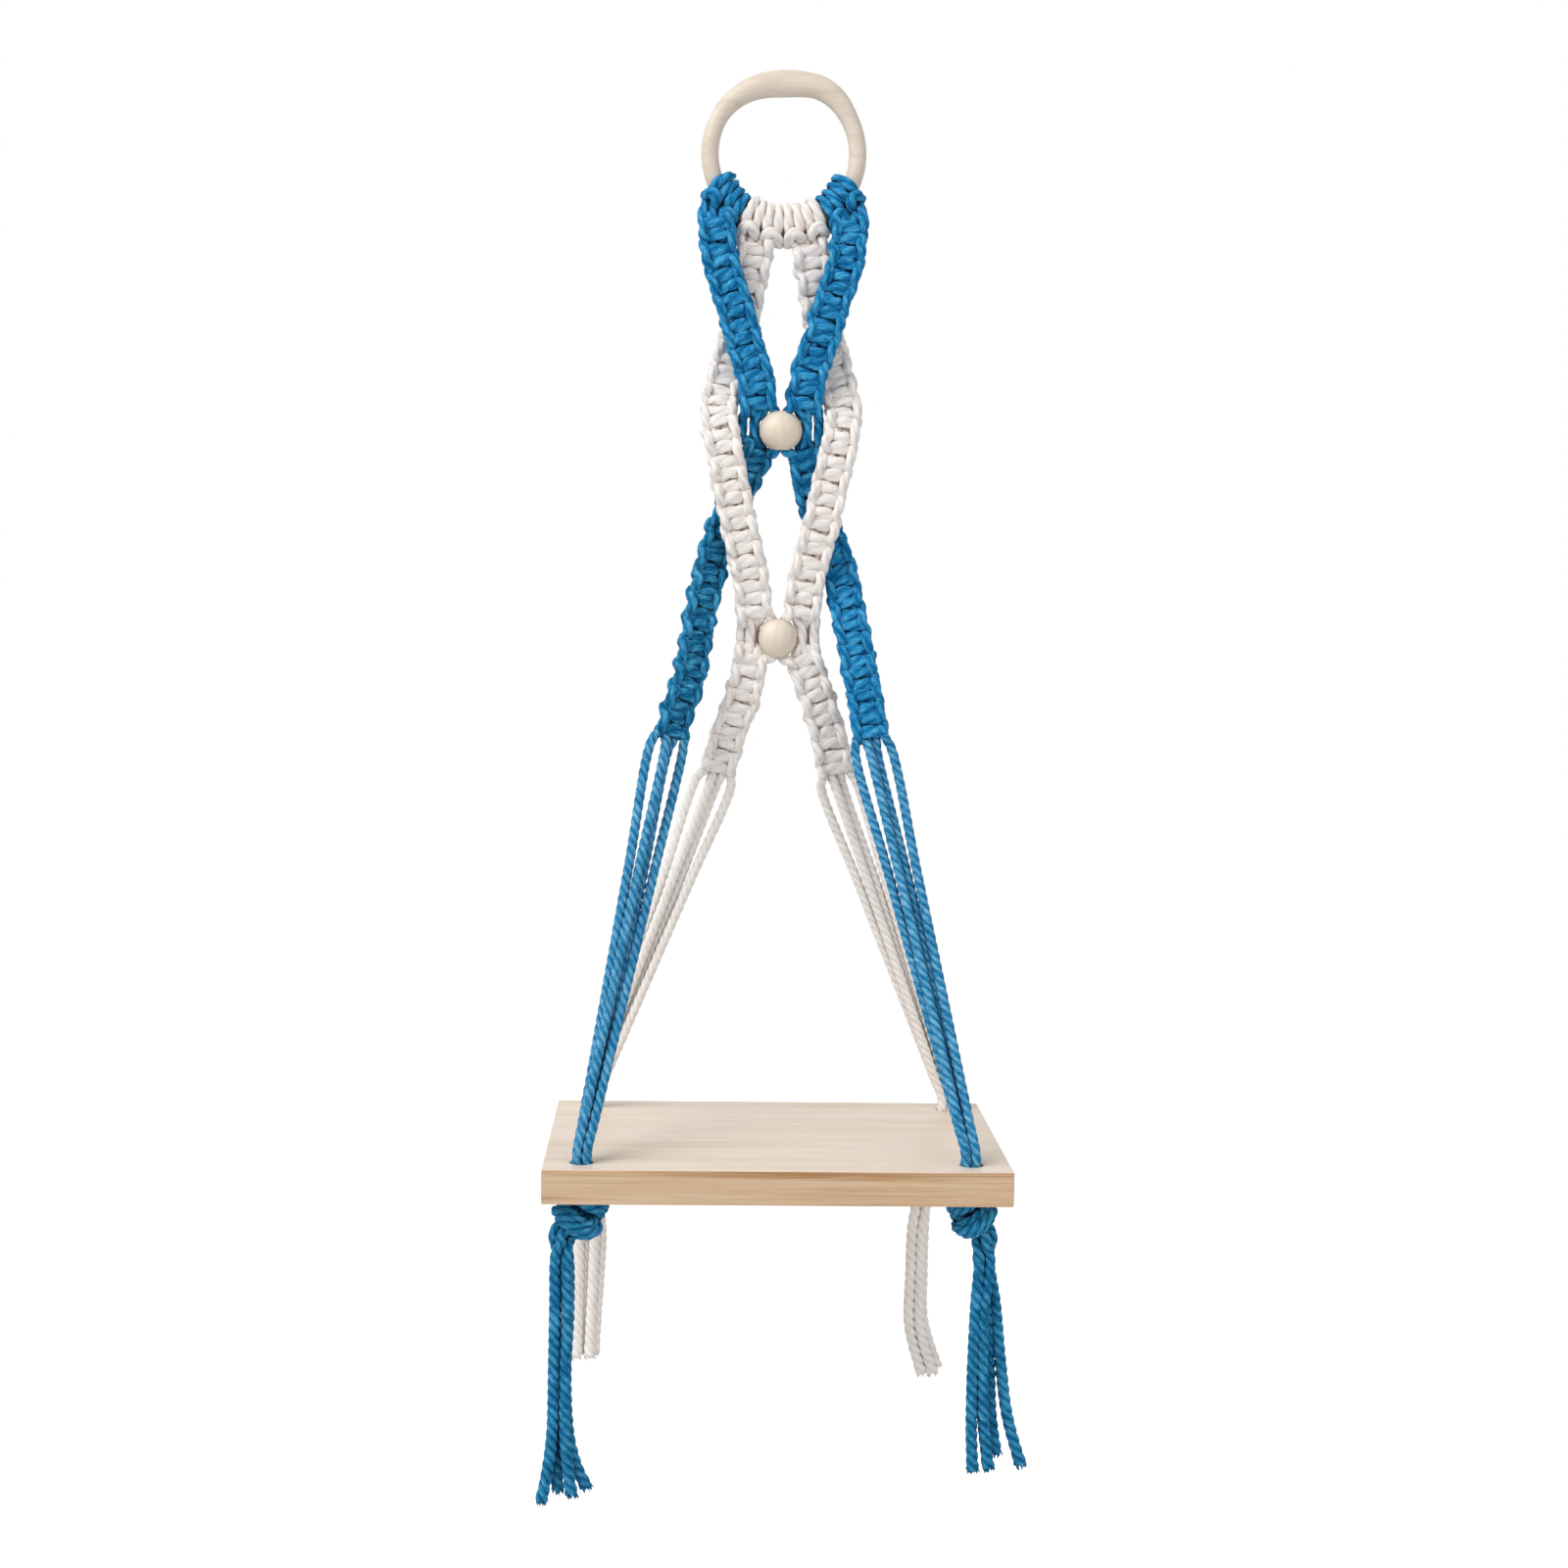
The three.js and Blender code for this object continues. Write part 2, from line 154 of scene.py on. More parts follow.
# Middle lines of the straps: out from the middle, forward, and the share of the way down.
UPPER_ROWS = {
    "blue": [
        (31.5, 5, 0), (31, 7, 0.18), (30.2, 9, 0.31), (28.6, 11.5, 0.43),
        (22.6, 14, 0.59), (17.3, 15.5, 0.75), (12, 16, 0.88), (10.5, 16, 1),
    ],
    "white": [
        (12.4, 4, 0), (12.6, 4, 0.2), (16.2, 2.4, 0.3), (20.8, 2.2, 0.4), (25.6, 4.4, 0.485),
        (28.4, 11.5, 0.547), (27.8, 18.6, 0.6), (25.6, 20.8, 0.65), (22, 21, 0.73),
        (18, 20.8, 0.82), (12.8, 19.6, 0.92), (10.8, 19, 1),
    ],
}
LOWER_ROWS = {
    "blue": [
        (12, 10.8, 0), (14.6, 9.2, 0.12), (21.7, 8.4, 0.28), (28.7, 12, 0.42),
        (33.9, 20.4, 0.56), (38.6, 31.6, 0.76), (45.2, 45.6, 1),
    ],
    "white": [(12.4, 19, 0), (17.4, 18, 0.34), (23.6, 16.6, 0.68), (28, 15.4, 1)],
}
# How far a lower strap is pulled outwards from its line: [share of the way down, by how much].
# The left blue one is also turned about its own line, in degrees.
SIDE_PULL = {
    "blue_left": [
        (0, 0), (0.12, 4.4), (0.24, 6.2), (0.34, 5.4), (0.46, 3.4),
        (0.62, 2.4), (0.8, 2), (0.92, 4), (1, 4),
    ],
    "blue_right": [(0, 0), (0.42, 0), (0.52, -1.6), (0.85, -2), (1, -3.4)],
    "white_left": [(0, 0), (0.3, -1.2), (1, -1)],
    "white_right": [(0, 0), (0.3, 1.4), (0.6, 1.2), (1, 0)],
}
TURN = {"blue_left": 28}
UPPER_WIDTH, LOWER_WIDTH = 1.09, 1.05  # of a strap, against the routes in its knots
# Cords past a bead, from the middle outwards: out from the bead's side, and behind its middle.
BESIDE = {
    "blue_left": [(-0.3, 1.5), (-0.4, 6.4), (5.4, 2.7)],
    "blue_right": [(-0.3, 1.5), (-0.4, 6.4), (5.4, 2.7)],
    "white_left": [(-0.8, 4.2), (1.4, 0.4), (5.3, 3.2)],
    "white_right": [(-0.4, 0.4), (2.6, 4.8), (5.5, 0.4)],
}
STRAP_END = {"blue": 296, "white": 314}  # drop of the foot of the lower strap
KNOTS_FROM = {"blue": 60.5, "white": 70.5}  # drop at which the knots of the upper strap begin
# Leg cords: across the foot of the strap and forward of it, and the corner in the hole.
LEG_PLACES = [
    ((-7.9, -0.5), (-1, -1)), ((-1.7, 1.7), (-1, 1)), ((1.7, -1.7), (1, -1)), ((7.9, 0.5), (1, 1)),
]

# Tassels: how far to the right of its hole the neck hangs, and the cords' routes from the corners
# of the neck, as points [right of the neck, forward of it, below its end].
NECK_CORNERS = [(-2.3, 2.3, 0.4), (2.3, 2.3, 0.4), (-2.3, -2.3, 0.4), (2.3, -2.3, 0.4)]
TASSELS = {
    "blue_left": (-7.6, [
        [(-2.6, 2.6, 22), (-2.9, 2.8, 50), (-3.3, 3, 78), (-5, 3.6, 94), (-7.6, 4.6, 108)],
        [(2.7, 2.8, 25), (1.9, 3, 55), (2.2, 3.4, 80), (3.6, 4, 94), (5.2, 5, 105)],
        [(-2.7, -2.6, 30), (-2.5, -2.4, 60), (-1.4, -1.6, 84), (-1, -0.4, 105)],
        [(3, -2.6, 26), (2, -2.6, 56), (3.6, -2.2, 82), (7, -1.6, 95), (11.2, -1, 104)],
    ]),
    "blue_right": (5.4, [
        [(-3.4, 3.2, 24), (-4.2, 3.8, 52), (-4.2, 4, 76), (-3.4, 4.2, 94)],
        [(-0.2, 3, 26), (0, 3.6, 50), (1, 3.8, 74), (3.4, 4, 93)],
        [(2.2, -2.8, 24), (3.8, -3.2, 50), (5, -3, 72), (7.4, -2.8, 89)],
        [(5.8, -2.4, 24), (8.4, -1.6, 48), (11.8, -0.8, 72), (17.8, 0.2, 93)],
    ]),
    "white_left": (0, [
        [(-4.8, 1.6, 20), (-5, 1.4, 40), (-5.2, 1.4, 62), (-5.6, 1.6, 81)],
        [(2.4, 1.8, 22), (1.8, 1.4, 44), (1, 1.4, 64), (0.4, 1.6, 81)],
        [(-1.4, -1.8, 20), (-1.8, -1.6, 42), (-2.2, -1.6, 62), (-3, -1.6, 79)],
        [(5.4, -1.6, 20), (4.8, -1.4, 42), (3.6, -1.4, 62), (2.6, -1.4, 80)],
    ]),
    "white_right": (-10.6, [
        [(-4.6, 2.6, 18), (-5.1, 2.6, 40), (-5.1, 2.8, 66), (0.8, 3.4, 88)],
        [(-0.2, 2.7, 20), (-0.7, 2.8, 42), (-0.4, 3, 66), (6, 3.6, 88)],
        [(-2.7, -2.6, 18), (-3.2, -2.6, 40), (-2.8, -2.6, 64), (3.2, -2.2, 85)],
        [(1.3, -2.6, 20), (1.2, -2.6, 42), (1.8, -2.4, 64), (8.4, -1.8, 86)],
    ]),
}


# ---- Camera ----

def look_from(place, yaw, pitch, roll):
    """A camera matrix: turned right by yaw, down by pitch and clockwise by roll, in degrees."""
    yaw, pitch, roll = (math.radians(a) for a in (yaw, pitch, roll))
    ahead = Vector((math.sin(yaw) * math.cos(pitch), math.cos(yaw) * math.cos(pitch), -math.sin(pitch)))
    right = Vector((math.cos(yaw), -math.sin(yaw), 0))
    up = right.cross(ahead)
    side = right * math.cos(roll) + up * math.sin(roll)
    top = up * math.cos(roll) - right * math.sin(roll)
    matrix = Matrix((side, top, -ahead)).transposed().to_4x4()
    matrix.translation = place
    return matrix


camera = new_object("camera", bpy.data.cameras.new("camera"))
camera.data.sensor_width = 36
camera.data.lens = 56.8
camera.matrix_world = look_from(Vector((-0.0409, -1.1556, -0.2251)), yaw=2.26, pitch=4.68, roll=0.92)
bpy.context.scene.camera = camera


# ---- Lines ----

CORD_STEP = 0.8  # between the rows of a cord
FINE_STEP = 0.5  # between the rows of a line that others are read from


def distances(line):
    """The distance along a line at each of its rows."""
    steps = np.linalg.norm(np.diff(line[:, :3], axis=0), axis=1)
    return np.concatenate([[0], np.cumsum(steps)])


def smooth_line(rows, step):
    """Evenly spaced rows on a smooth curve through the given rows (centripetal Catmull-Rom).

    The first three columns are the place; any others are carried along with it.
    """
    rows = np.asarray(rows, float)
    places = rows[:, :3]
    before, after = 2 * places[0] - places[1], 2 * places[-1] - places[-2]
    ends = np.vstack([before, places, after])
    gaps = np.maximum(np.linalg.norm(np.diff(ends, axis=0), axis=1) ** 0.5, 1e-4)
    s = np.linspace(0, 1, 9)[:-1, None]  # share of the way from one row to the next
    pieces = []
    for i in range(len(places) - 1):
        p0, p1, p2, p3 = ends[i:i + 4]
        g0, g1, g2 = gaps[i:i + 3]
        m1 = ((p1 - p0) / g0 - (p2 - p0) / (g0 + g1) + (p2 - p1) / g1) * g1
        m2 = ((p2 - p1) / g1 - (p3 - p1) / (g1 + g2) + (p3 - p2) / g2) * g1
        place = (
            p1 * (2 * s**3 - 3 * s**2 + 1) + m1 * (s**3 - 2 * s**2 + s)
            + p2 * (3 * s**2 - 2 * s**3) + m2 * (s**3 - s**2)
        )
        pieces.append(np.hstack([place, rows[i, 3:] * (1 - s) + rows[i + 1, 3:] * s]))
    fine = np.vstack([*pieces, rows[-1:]])
    along = distances(fine)
    even = np.linspace(0, along[-1], max(2, round(along[-1] / step)) + 1)
    return np.column_stack([np.interp(even, along, column) for column in fine.T])


def line_length(line):
    return float(distances(line)[-1])


def unit(vectors):
    return vectors / np.maximum(np.linalg.norm(vectors, axis=-1, keepdims=True), 1e-9)


def carried_frames(line):
    """Tangents with two sideways directions that turn no more than the line bends."""
    tangents = unit(np.gradient(line[:, :3], axis=0))
    sideways = np.empty_like(tangents)
    side = np.array([1.0, 0.0, 0.0])
    if abs(side @ tangents[0]) > 0.9:
        side = np.array([0.0, 0.0, 1.0])
    for i, tangent in enumerate(tangents):
        side = unit(side - (side @ tangent) * tangent)
        sideways[i] = side
    return tangents, sideways, np.cross(tangents, sideways)


# ---- Twisted cord ----

PLIES = 3
PLY_ANGLES = np.radians([-60, -44, -24, 0, 24, 44])  # round one ply, from groove to groove
PLY_OFFSET, PLY_RADIUS = 0.165, 0.335  # of the cord's diameter
START_DOME, END_DOME = 0.2, 0.1  # how far the ends bulge, of the diameter

# Yarn ends at a cut: ranges of their length, radius and lean.
FRAY_LENGTH, FRAY_RADIUS, FRAY_LEAN = (1.4, 3.2), (0.34, 0.5), (0.05, 0.5)
YARN_SIDES = 5
# The yarn ends' crown, for the cotton's painted groove shade.
YARN_CROWN = 0.7


def cord_section():
    """Angle and radius round a cord of three plies, for a diameter of one."""
    groove_to_groove = PLY_OFFSET * np.cos(PLY_ANGLES) + np.sqrt(
        PLY_RADIUS**2 - (PLY_OFFSET * np.sin(PLY_ANGLES)) ** 2)
    turns = np.arange(PLIES)[:, None] * 2 * np.pi / PLIES
    return (PLY_ANGLES + turns).ravel(), np.tile(groove_to_groove, PLIES)


SECTION_ANGLES, SECTION_RADII = cord_section()
SECTION_CROWN = (SECTION_RADII - SECTION_RADII.min()) / np.ptp(SECTION_RADII)


def smooth_piece(name, points, faces, material):
    """A piece as an object, in metres, with smooth shading."""
    mesh = bpy.data.meshes.new(name)
    mesh.from_pydata((points * MM).tolist(), [], faces)
    mesh.shade_smooth()
    mesh.materials.append(material)
    thing = new_object(name, mesh)
    return thing


def tube_faces(rows, sides):
    """Faces between rows of points that each go once round a tube."""
    return [
        (i + k, i + (k + 1) % sides, i + sides + (k + 1) % sides, i + sides + k)
        for i in range(0, (rows - 1) * sides, sides) for k in range(sides)
    ]


class Mesh:
    """Vertices and faces of a piece of cords, in millimetres, with where each vertex lies on its cord.

    Maps are places round the cord and along it. Crowns run from 0 in the groove between two plies
    to 1 on top of a ply.
    """

    def __init__(self):
        self.points = []
        self.faces = []
        self.maps = []
        self.crowns = []
        self.count = 0

    def add(self, points, faces, maps, crowns):
        self.points.append(points)
        self.faces += [tuple(i + self.count for i in face) for face in faces]
        self.maps.append(maps)
        self.crowns.append(crowns)
        self.count += len(points)

    def add_cord(self, line, diameter, lay=LAY_LENGTH, phase=None, rows=slice(None), fray=0):
        """Sweeps the twisted section along a line, or along some of its rows.

        Columns 3 to 6, if any, are the direction in which neighbours press on the cord and how
        flat it then is. Phase is the turn of its plies at the line's start, by default random.
        """
        line = np.asarray(line, float)
        tangents, sideways, beside = (part[rows] for part in carried_frames(line))
        along = distances(line)[rows]
        diameter = np.broadcast_to(diameter, len(line))[rows]
        line = line[rows]
        if phase is None:
            phase = random.uniform(0, 2 * np.pi)
        angles = SECTION_ANGLES + (phase - 2 * np.pi * along / lay)[:, None]
        radii = SECTION_RADII * diameter[:, None]
        offsets = (radii * np.cos(angles))[..., None] * sideways[:, None]
        offsets += (radii * np.sin(angles))[..., None] * beside[:, None]
        if line.shape[1] > 3:
            press, flatness = unit(line[:, None, 3:6]), line[:, None, 6:7]
            depth = (offsets * press).sum(-1, keepdims=True)
            offsets = (offsets - depth * press) / np.sqrt(flatness) + depth * press * flatness
        points = line[:, None, :3] + offsets
        ends = np.array([line[0, :3] - START_DOME * diameter[0] * tangents[0],
                         line[-1, :3] + END_DOME * diameter[-1] * tangents[-1]])
        count, facets = len(line), len(SECTION_ANGLES)
        last = (count - 1) * facets
        first_end, last_end = count * facets, count * facets + 1
        faces = tube_faces(count, facets)
        faces += [(first_end, (k + 1) % facets, k) for k in range(facets)]
        faces += [(last_end, last + k, last + (k + 1) % facets) for k in range(facets)]
        maps = np.stack(np.meshgrid(np.arange(facets) / facets, along), axis=-1).reshape(-1, 2)
        maps = np.vstack([maps, [[0.5, along[0]], [0.5, along[-1]]]])
        crowns = np.append(np.tile(SECTION_CROWN, count), [0.5, 0.5])
        self.add(np.vstack([points.reshape(-1, 3), ends]), faces, maps, crowns)
        if fray:
            self.add_fray(line[-1, :3], tangents[-1], sideways[-1], beside[-1], diameter[-1], fray)

    def add_fray(self, end, ahead, sideways, beside, diameter, count):
        """Yarn ends that open out at a cut end."""
        for _ in range(count):
            angle = random.uniform(0, 2 * np.pi)
            share = random.uniform(0.1, 0.95) ** 0.5
            out = np.cos(angle) * sideways + np.sin(angle) * beside
            root = end + out * share * 0.38 * diameter - ahead * 0.5
            lean = out * random.uniform(*FRAY_LEAN) * share
            tip = root + unit(ahead + lean) * random.uniform(*FRAY_LENGTH)
            self.add_yarn(root, tip, random.uniform(*FRAY_RADIUS))

    def add_yarn(self, root, tip, radius):
        """A short spike with a slight bend."""
        sides = YARN_SIDES
        ahead = unit(tip - root)
        side = unit(np.cross(ahead, [0.3, 1.0, 0.2]))
        other = np.cross(ahead, side)
        turns = np.linspace(0, 2 * np.pi, sides + 1)[:-1]
        circle = np.cos(turns)[:, None] * side + np.sin(turns)[:, None] * other
        middle = root + 0.6 * (tip - root) + 0.25 * side
        points = np.vstack([root + circle * radius, middle + circle * radius * 0.8, [tip]])
        faces = [tuple(reversed(range(sides))), *tube_faces(2, sides)]
        faces += [(sides + k, sides + (k + 1) % sides, 2 * sides) for k in range(sides)]
        count = len(points)
        self.add(points, faces, np.tile([[0.5, 0.0]], (count, 1)), np.full(count, YARN_CROWN))

    def piece(self, name, material, slot):
        """The cords as one object, with their maps and crowns for the material."""
        thing = smooth_piece(name, np.vstack(self.points), self.faces, material)
        mesh = thing.data
        corners = np.empty(len(mesh.loops), np.int32)
        mesh.loops.foreach_get("vertex_index", corners)
        layer = mesh.uv_layers.new(name="cord")
        layer.data.foreach_set("uv", np.vstack(self.maps)[corners].astype(np.float32).ravel())
        # The crowns, for the cotton's painted groove shade.
        crown = mesh.attributes.new("crown", "FLOAT", "POINT")
        crown.data.foreach_set("value", np.concatenate(self.crowns).astype(np.float32))
        return thing


# ---- Materials ----

def from_screen(*channels):
    """A colour as light, from its 0 to 255 screen values."""
    return tuple(c / 255 / 12.92 if c <= 10 else ((c / 255 + 0.055) / 1.055) ** 2.4
                 for c in channels)


class Nodes:
    """A node tree. Inputs are given by name or number, as values or as outputs to link to."""

    def __init__(self, tree):
        self.tree = tree

    def add(self, kind, inputs=None, **settings):
        node = self.tree.nodes.new(kind)
        for name, value in settings.items():
            setattr(node, name, value)
        self.set(node, inputs or {})
        return node

    def set(self, node, inputs):
        for key, value in inputs.items():
            if isinstance(value, bpy.types.NodeSocket):
                self.tree.links.new(value, node.inputs[key])
            else:
                node.inputs[key].default_value = value

    def noise(self, place, stretch, inputs, shift=0):
        """Noise over a place that is first stretched along its axes, and slid along the first."""
        mapping = self.add("ShaderNodeMapping", {
            "Vector": place, "Scale": stretch, "Location": (shift, 0, 0)})
        noise = self.add("ShaderNodeTexNoise", {
            "Vector": mapping.outputs["Vector"], "Scale": 1.0, **inputs})
        return noise.outputs["Fac"]

    def colour_ramp(self, value, stops):
        node = self.add("ShaderNodeValToRGB", {"Fac": value})
        elements = node.color_ramp.elements
        while len(elements) < len(stops):
            elements.new(0.5)
        for element, (place, colour) in zip(elements, stops):
            element.position = place
            element.color = (*colour, 1)
        return node.outputs["Color"]


def new_material(name):
    """A material, its nodes and its main shader."""
    material = bpy.data.materials.new(name)
    material.use_nodes = True
    return material, Nodes(material.node_tree), material.node_tree.nodes["Principled BSDF"]


# What makes a place on the cotton lighter: fibres and patches of its own tone, and the height on a
# ply, which paints shade into the grooves between plies.
FIBRE_SHARE = 0.74
PATCH_SHARE = 0.26
GROOVE_SHADE_SHARE = 0.15


def cotton(name, shades, gap):
    """Matt cotton: fibres run along each ply, and shade varies between lengths.

    Shades are the painted shade in the gaps between cords, then dark to light; the plies are painted
    darker in their grooves and lighter on top. Gap is how far the painted shade reaches from a neighbour.
    """
    gap_shade, dark, middle, light = (from_screen(*shade) for shade in shades)
    material, nodes, shader = new_material(name)
    cord_map = nodes.add("ShaderNodeUVMap", uv_map="cord")
    fibres = nodes.noise(cord_map.outputs["UV"], (46, 0.42, 1), {"Detail": 3.0, "Roughness": 0.6})
    place = nodes.add("ShaderNodeTexCoord")
    patches = nodes.noise(place.outputs["Object"], (160, 160, 160), {"Detail": 2.0})
    # Painted shade: the grooves between plies darker, the tops of the plies lighter.
    crown = nodes.add("ShaderNodeAttribute", attribute_name="crown").outputs["Fac"]
    tone_and_groove_shade = 0.0
    for part, share in ((fibres, FIBRE_SHARE), (patches, PATCH_SHARE), (crown, GROOVE_SHADE_SHARE)):
        total = nodes.add(
            "ShaderNodeMath", {0: part, 1: share, 2: tone_and_groove_shade}, operation="MULTIPLY_ADD")
        tone_and_groove_shade = total.outputs["Value"]
    shade = nodes.colour_ramp(tone_and_groove_shade, [(0.44, dark), (0.59, middle), (0.76, light)])
    bump = nodes.add("ShaderNodeBump", {"Height": fibres, "Strength": 0.35, "Distance": 0.0003})
    # Painted shade: where a neighbour is close, the colour turns towards the gap colour.
    crevice = nodes.add("ShaderNodeAmbientOcclusion", {"Distance": gap * MM}, samples=6)
    depth = nodes.add("ShaderNodeMapRange", {
        "Value": crevice.outputs["AO"], "From Min": 0.08, "From Max": 0.68})
    painted_gap_shade = nodes.add("ShaderNodeMix", {
        "Factor": depth.outputs["Result"], "A": (*gap_shade, 1), "B": shade}, data_type="RGBA")
    nodes.set(shader, {
        "Base Color": painted_gap_shade.outputs["Result"], "Normal": bump.outputs["Normal"], "Roughness": 0.9,
        "Specular IOR Level": 0.14, "Sheen Weight": 0.05, "Sheen Roughness": 0.4})
    return material


def wood(name, grain_scale, shades, rough, relief, pore_depth=0.6, shift=0):
    """Pale wood with fine pores and a few wider year rings.

    The grain runs along the axis with the smallest grain scale. Shades are screen colours from
    dark to light. Relief and pore depth are how strongly the pores stand out and show; shift
    slides the pattern along.
    """
    material, nodes, shader = new_material(name)
    place = nodes.add("ShaderNodeTexCoord").outputs["Object"]
    rings = nodes.noise(
        place, grain_scale, {"Detail": 4.0, "Roughness": 0.55, "Distortion": 0.4}, shift)
    shade = nodes.colour_ramp(rings, [(share, from_screen(*colour)) for share, colour in shades])
    pore_scale = [5 * scale for scale in grain_scale]
    pores = nodes.noise(place, pore_scale, {"Detail": 3.0, "Roughness": 0.7})
    pore_shade = nodes.colour_ramp(pores, [(0.3, (0.86, 0.84, 0.82)), (0.55, (1, 1, 1))])
    multiply = nodes.add("ShaderNodeMix", {"Factor": pore_depth, "A": shade, "B": pore_shade},
                         data_type="RGBA", blend_type="MULTIPLY")
    bump = nodes.add("ShaderNodeBump", {"Height": pores, "Strength": relief, "Distance": 0.0002})
    nodes.set(shader, {
        "Base Color": multiply.outputs["Result"], "Normal": bump.outputs["Normal"],
        "Roughness": rough, "Specular IOR Level": 0.35})
    return material


# Each: the painted shade in the gaps between cords, then dark to light. The upper blue is the base.
UPPER_BLUE = [(0, 32, 64), (0, 78, 127), (16, 121, 178), (86, 181, 226)]
# A darker copy of the upper blue as painted shade, for the blue knots and tassels in the board's shade and
# for the left lower strap.
PAINTED_SHADE_BLUE = [(0, 32, 60), (0, 69, 109), (12, 110, 157), (90, 178, 221)]
# A lighter, paler copy of the blue, as painted light on the legs.
PAINTED_LIGHT_BLUE = [(0, 40, 76), (6, 84, 130), (44, 134, 184), (140, 200, 230)]
WHITE = [(202, 184, 170), (220, 211, 205), (238, 233, 230), (247, 245, 243)]
# A lighter copy of the white, as painted light on the legs and the white tassels.
PAINTED_LIGHT_WHITE = [(214, 200, 190), (230, 222, 217), (244, 240, 237), (250, 248, 246)]
KNOT_GAP, CORD_GAP = 4, 2

WHITE_KNOTS = cotton("white_knots", WHITE, KNOT_GAP)
LIT_WHITE_CORDS = cotton("white_lit_cords", PAINTED_LIGHT_WHITE, CORD_GAP)
UPPER_COTTON = {"blue": cotton("blue_upper_knots", UPPER_BLUE, KNOT_GAP), "white": WHITE_KNOTS}
# The blue under the board and on the left lower strap takes the copy with painted shade; the legs and the
# white tassels take the copies with painted light.
LOWER_COTTON = {"blue": cotton("blue_shaded_lower_knots", PAINTED_SHADE_BLUE, KNOT_GAP), "white": WHITE_KNOTS}
LOWER_STRAP_COTTON = {"left": LOWER_COTTON, "right": UPPER_COTTON}
LIT_LEG_COTTON = {"blue": cotton("blue_lit_cords", PAINTED_LIGHT_BLUE, CORD_GAP), "white": LIT_WHITE_CORDS}
HANGING_COTTON = {"blue": LOWER_COTTON["blue"], "white": LIT_WHITE_CORDS}
RING_WOOD = wood("ring_wood", (40, 260, 260), [
    (0.3, (210, 196, 179)), (0.55, (221, 209, 195)), (0.8, (227, 217, 205)),
], rough=0.45, relief=0.08, pore_depth=0.25)
BEAD_WOOD = wood("bead_wood", (260, 260, 40), [
    (0.2, (224, 208, 187)), (0.5, (232, 219, 202)), (0.8, (236, 226, 211)),
], rough=0.42, relief=0.08, pore_depth=0.35)
BOARD_FACE = wood("planed_pine", (7, 110, 300), [
    (0.25, (220, 199, 176)), (0.42, (231, 214, 196)), (0.6, (236, 220, 205)), (0.8, (239, 225, 212)),
], rough=0.4, relief=0.15)
# The long edges: sawn wood with its streaks, darker and warmer than the top, and darker still with painted
# shade for the less light that these upright faces get.
BOARD_EDGE = wood("sawn_pine_shaded", (9, 150, 330), [
    (0.3, (176, 132, 90)), (0.45, (207, 174, 139)), (0.6, (216, 187, 156)), (0.8, (222, 198, 171)),
], rough=0.65, relief=0.25, pore_depth=0.8, shift=0.5)
BOARD_END = wood("end_pine", (200, 26, 420), [
    (0.3, (186, 146, 106)), (0.5, (206, 174, 140)), (0.7, (214, 186, 154)),
], rough=0.7, relief=0.2, pore_depth=0.5)


# ---- Loops on the ring ----

WRAP = RING_SECTION / 2 + 0.4 * LOOP_CORD  # from the ring's middle line to the cord round it
BAR = WRAP + 0.68 * LOOP_CORD
BAR_ANGLE = 70
STAND = {"blue": 0, "white": 1.6}  # how much further the cord stands up inside the ring
HITCH_START = (14, WRAP + 0.6)  # where the cord comes up from its strap: as in the next table
LEAD_ASIDE = 3.2  # degrees from a hitch's middle to the cords that hang from it

# One turn of a hitch: degrees round the ring's section from its outermost side towards the front,
# distance from the section's middle, degrees aside from the hitch's middle, and flatness.
# Squeezed side by side inside the ring, the cord stands up there.
HITCH_TURN = [
    (*HITCH_START, 2.8, 0.9), (50, WRAP, 3.5, 0.88), (90, WRAP, 4.33, 0.88), (135, WRAP + 0.5, 4.35, 1.05),
    (180, WRAP + 0.9, 4.4, 1.3), (225, WRAP + 0.4, 4.7, 1), (270, WRAP, 4.9, 0.9), (315, WRAP, 5.0, 0.9),
    (350, WRAP + 0.5, 5.4, 0.9), (24, WRAP + 1.8, 5.6, 0.9), (60, BAR - 0.2, 3.6, 0.86),
]


def on_ring(angle, round_angle, reach, flatness=1):
    """A key row by its angle from the ring's lowest point and its place round the ring's section.

    Below the ring the cords lean in towards the middle, as the load pulls them.
    """
    round_angle = math.radians(round_angle)
    out, forward = reach * math.cos(round_angle), reach * math.sin(round_angle)
    lean = 1 - 0.1 * np.clip((out + 3) / 10, 0, 1.2)
    angle = math.radians(angle * lean)
    radius = RING_RADIUS + out
    place = point(radius * math.sin(angle), forward, RING_DROP + radius * math.cos(angle))
    press = np.array([
        math.cos(round_angle) * math.sin(angle), -math.sin(round_angle),
        -math.cos(round_angle) * math.cos(angle),
    ])
    return np.concatenate([place, press, [flatness]])


def hitch_line(middle, stand):
    """A folded cord hitched on the ring: up the front behind the bar, over, down the back, and
    across the front as the bar, then the same the other way."""

    def turn(side):
        rows = []
        for round_angle, reach, aside, flatness in HITCH_TURN:
            inside = max(0, -math.cos(math.radians(round_angle)))
            rows.append(on_ring(middle + side * aside, round_angle, reach + stand * inside, flatness))
        return rows

    return [*turn(-1), on_ring(middle, BAR_ANGLE, BAR, 0.86), *reversed(turn(1))]


def hitch_angle(colour, sign, place):
    """Degrees from the ring's lowest point to the middle of a hitch."""
    steps = 2 * place - 1
    if colour == "blue":
        return sign * ((steps + 4) * LOOP_PITCH + COLOUR_GAP)
    return sign * steps * LOOP_PITCH


# ---- Straps of square knots ----

FLAT = 0.82
FILLER_OUT, FILLER_FORWARD = 2.2, 0.7
PAIR_PULL = 0.06  # how far the two bars of one knot draw together, in half knots
LOOSENESS = 0.28  # how far the key rows stray, at random
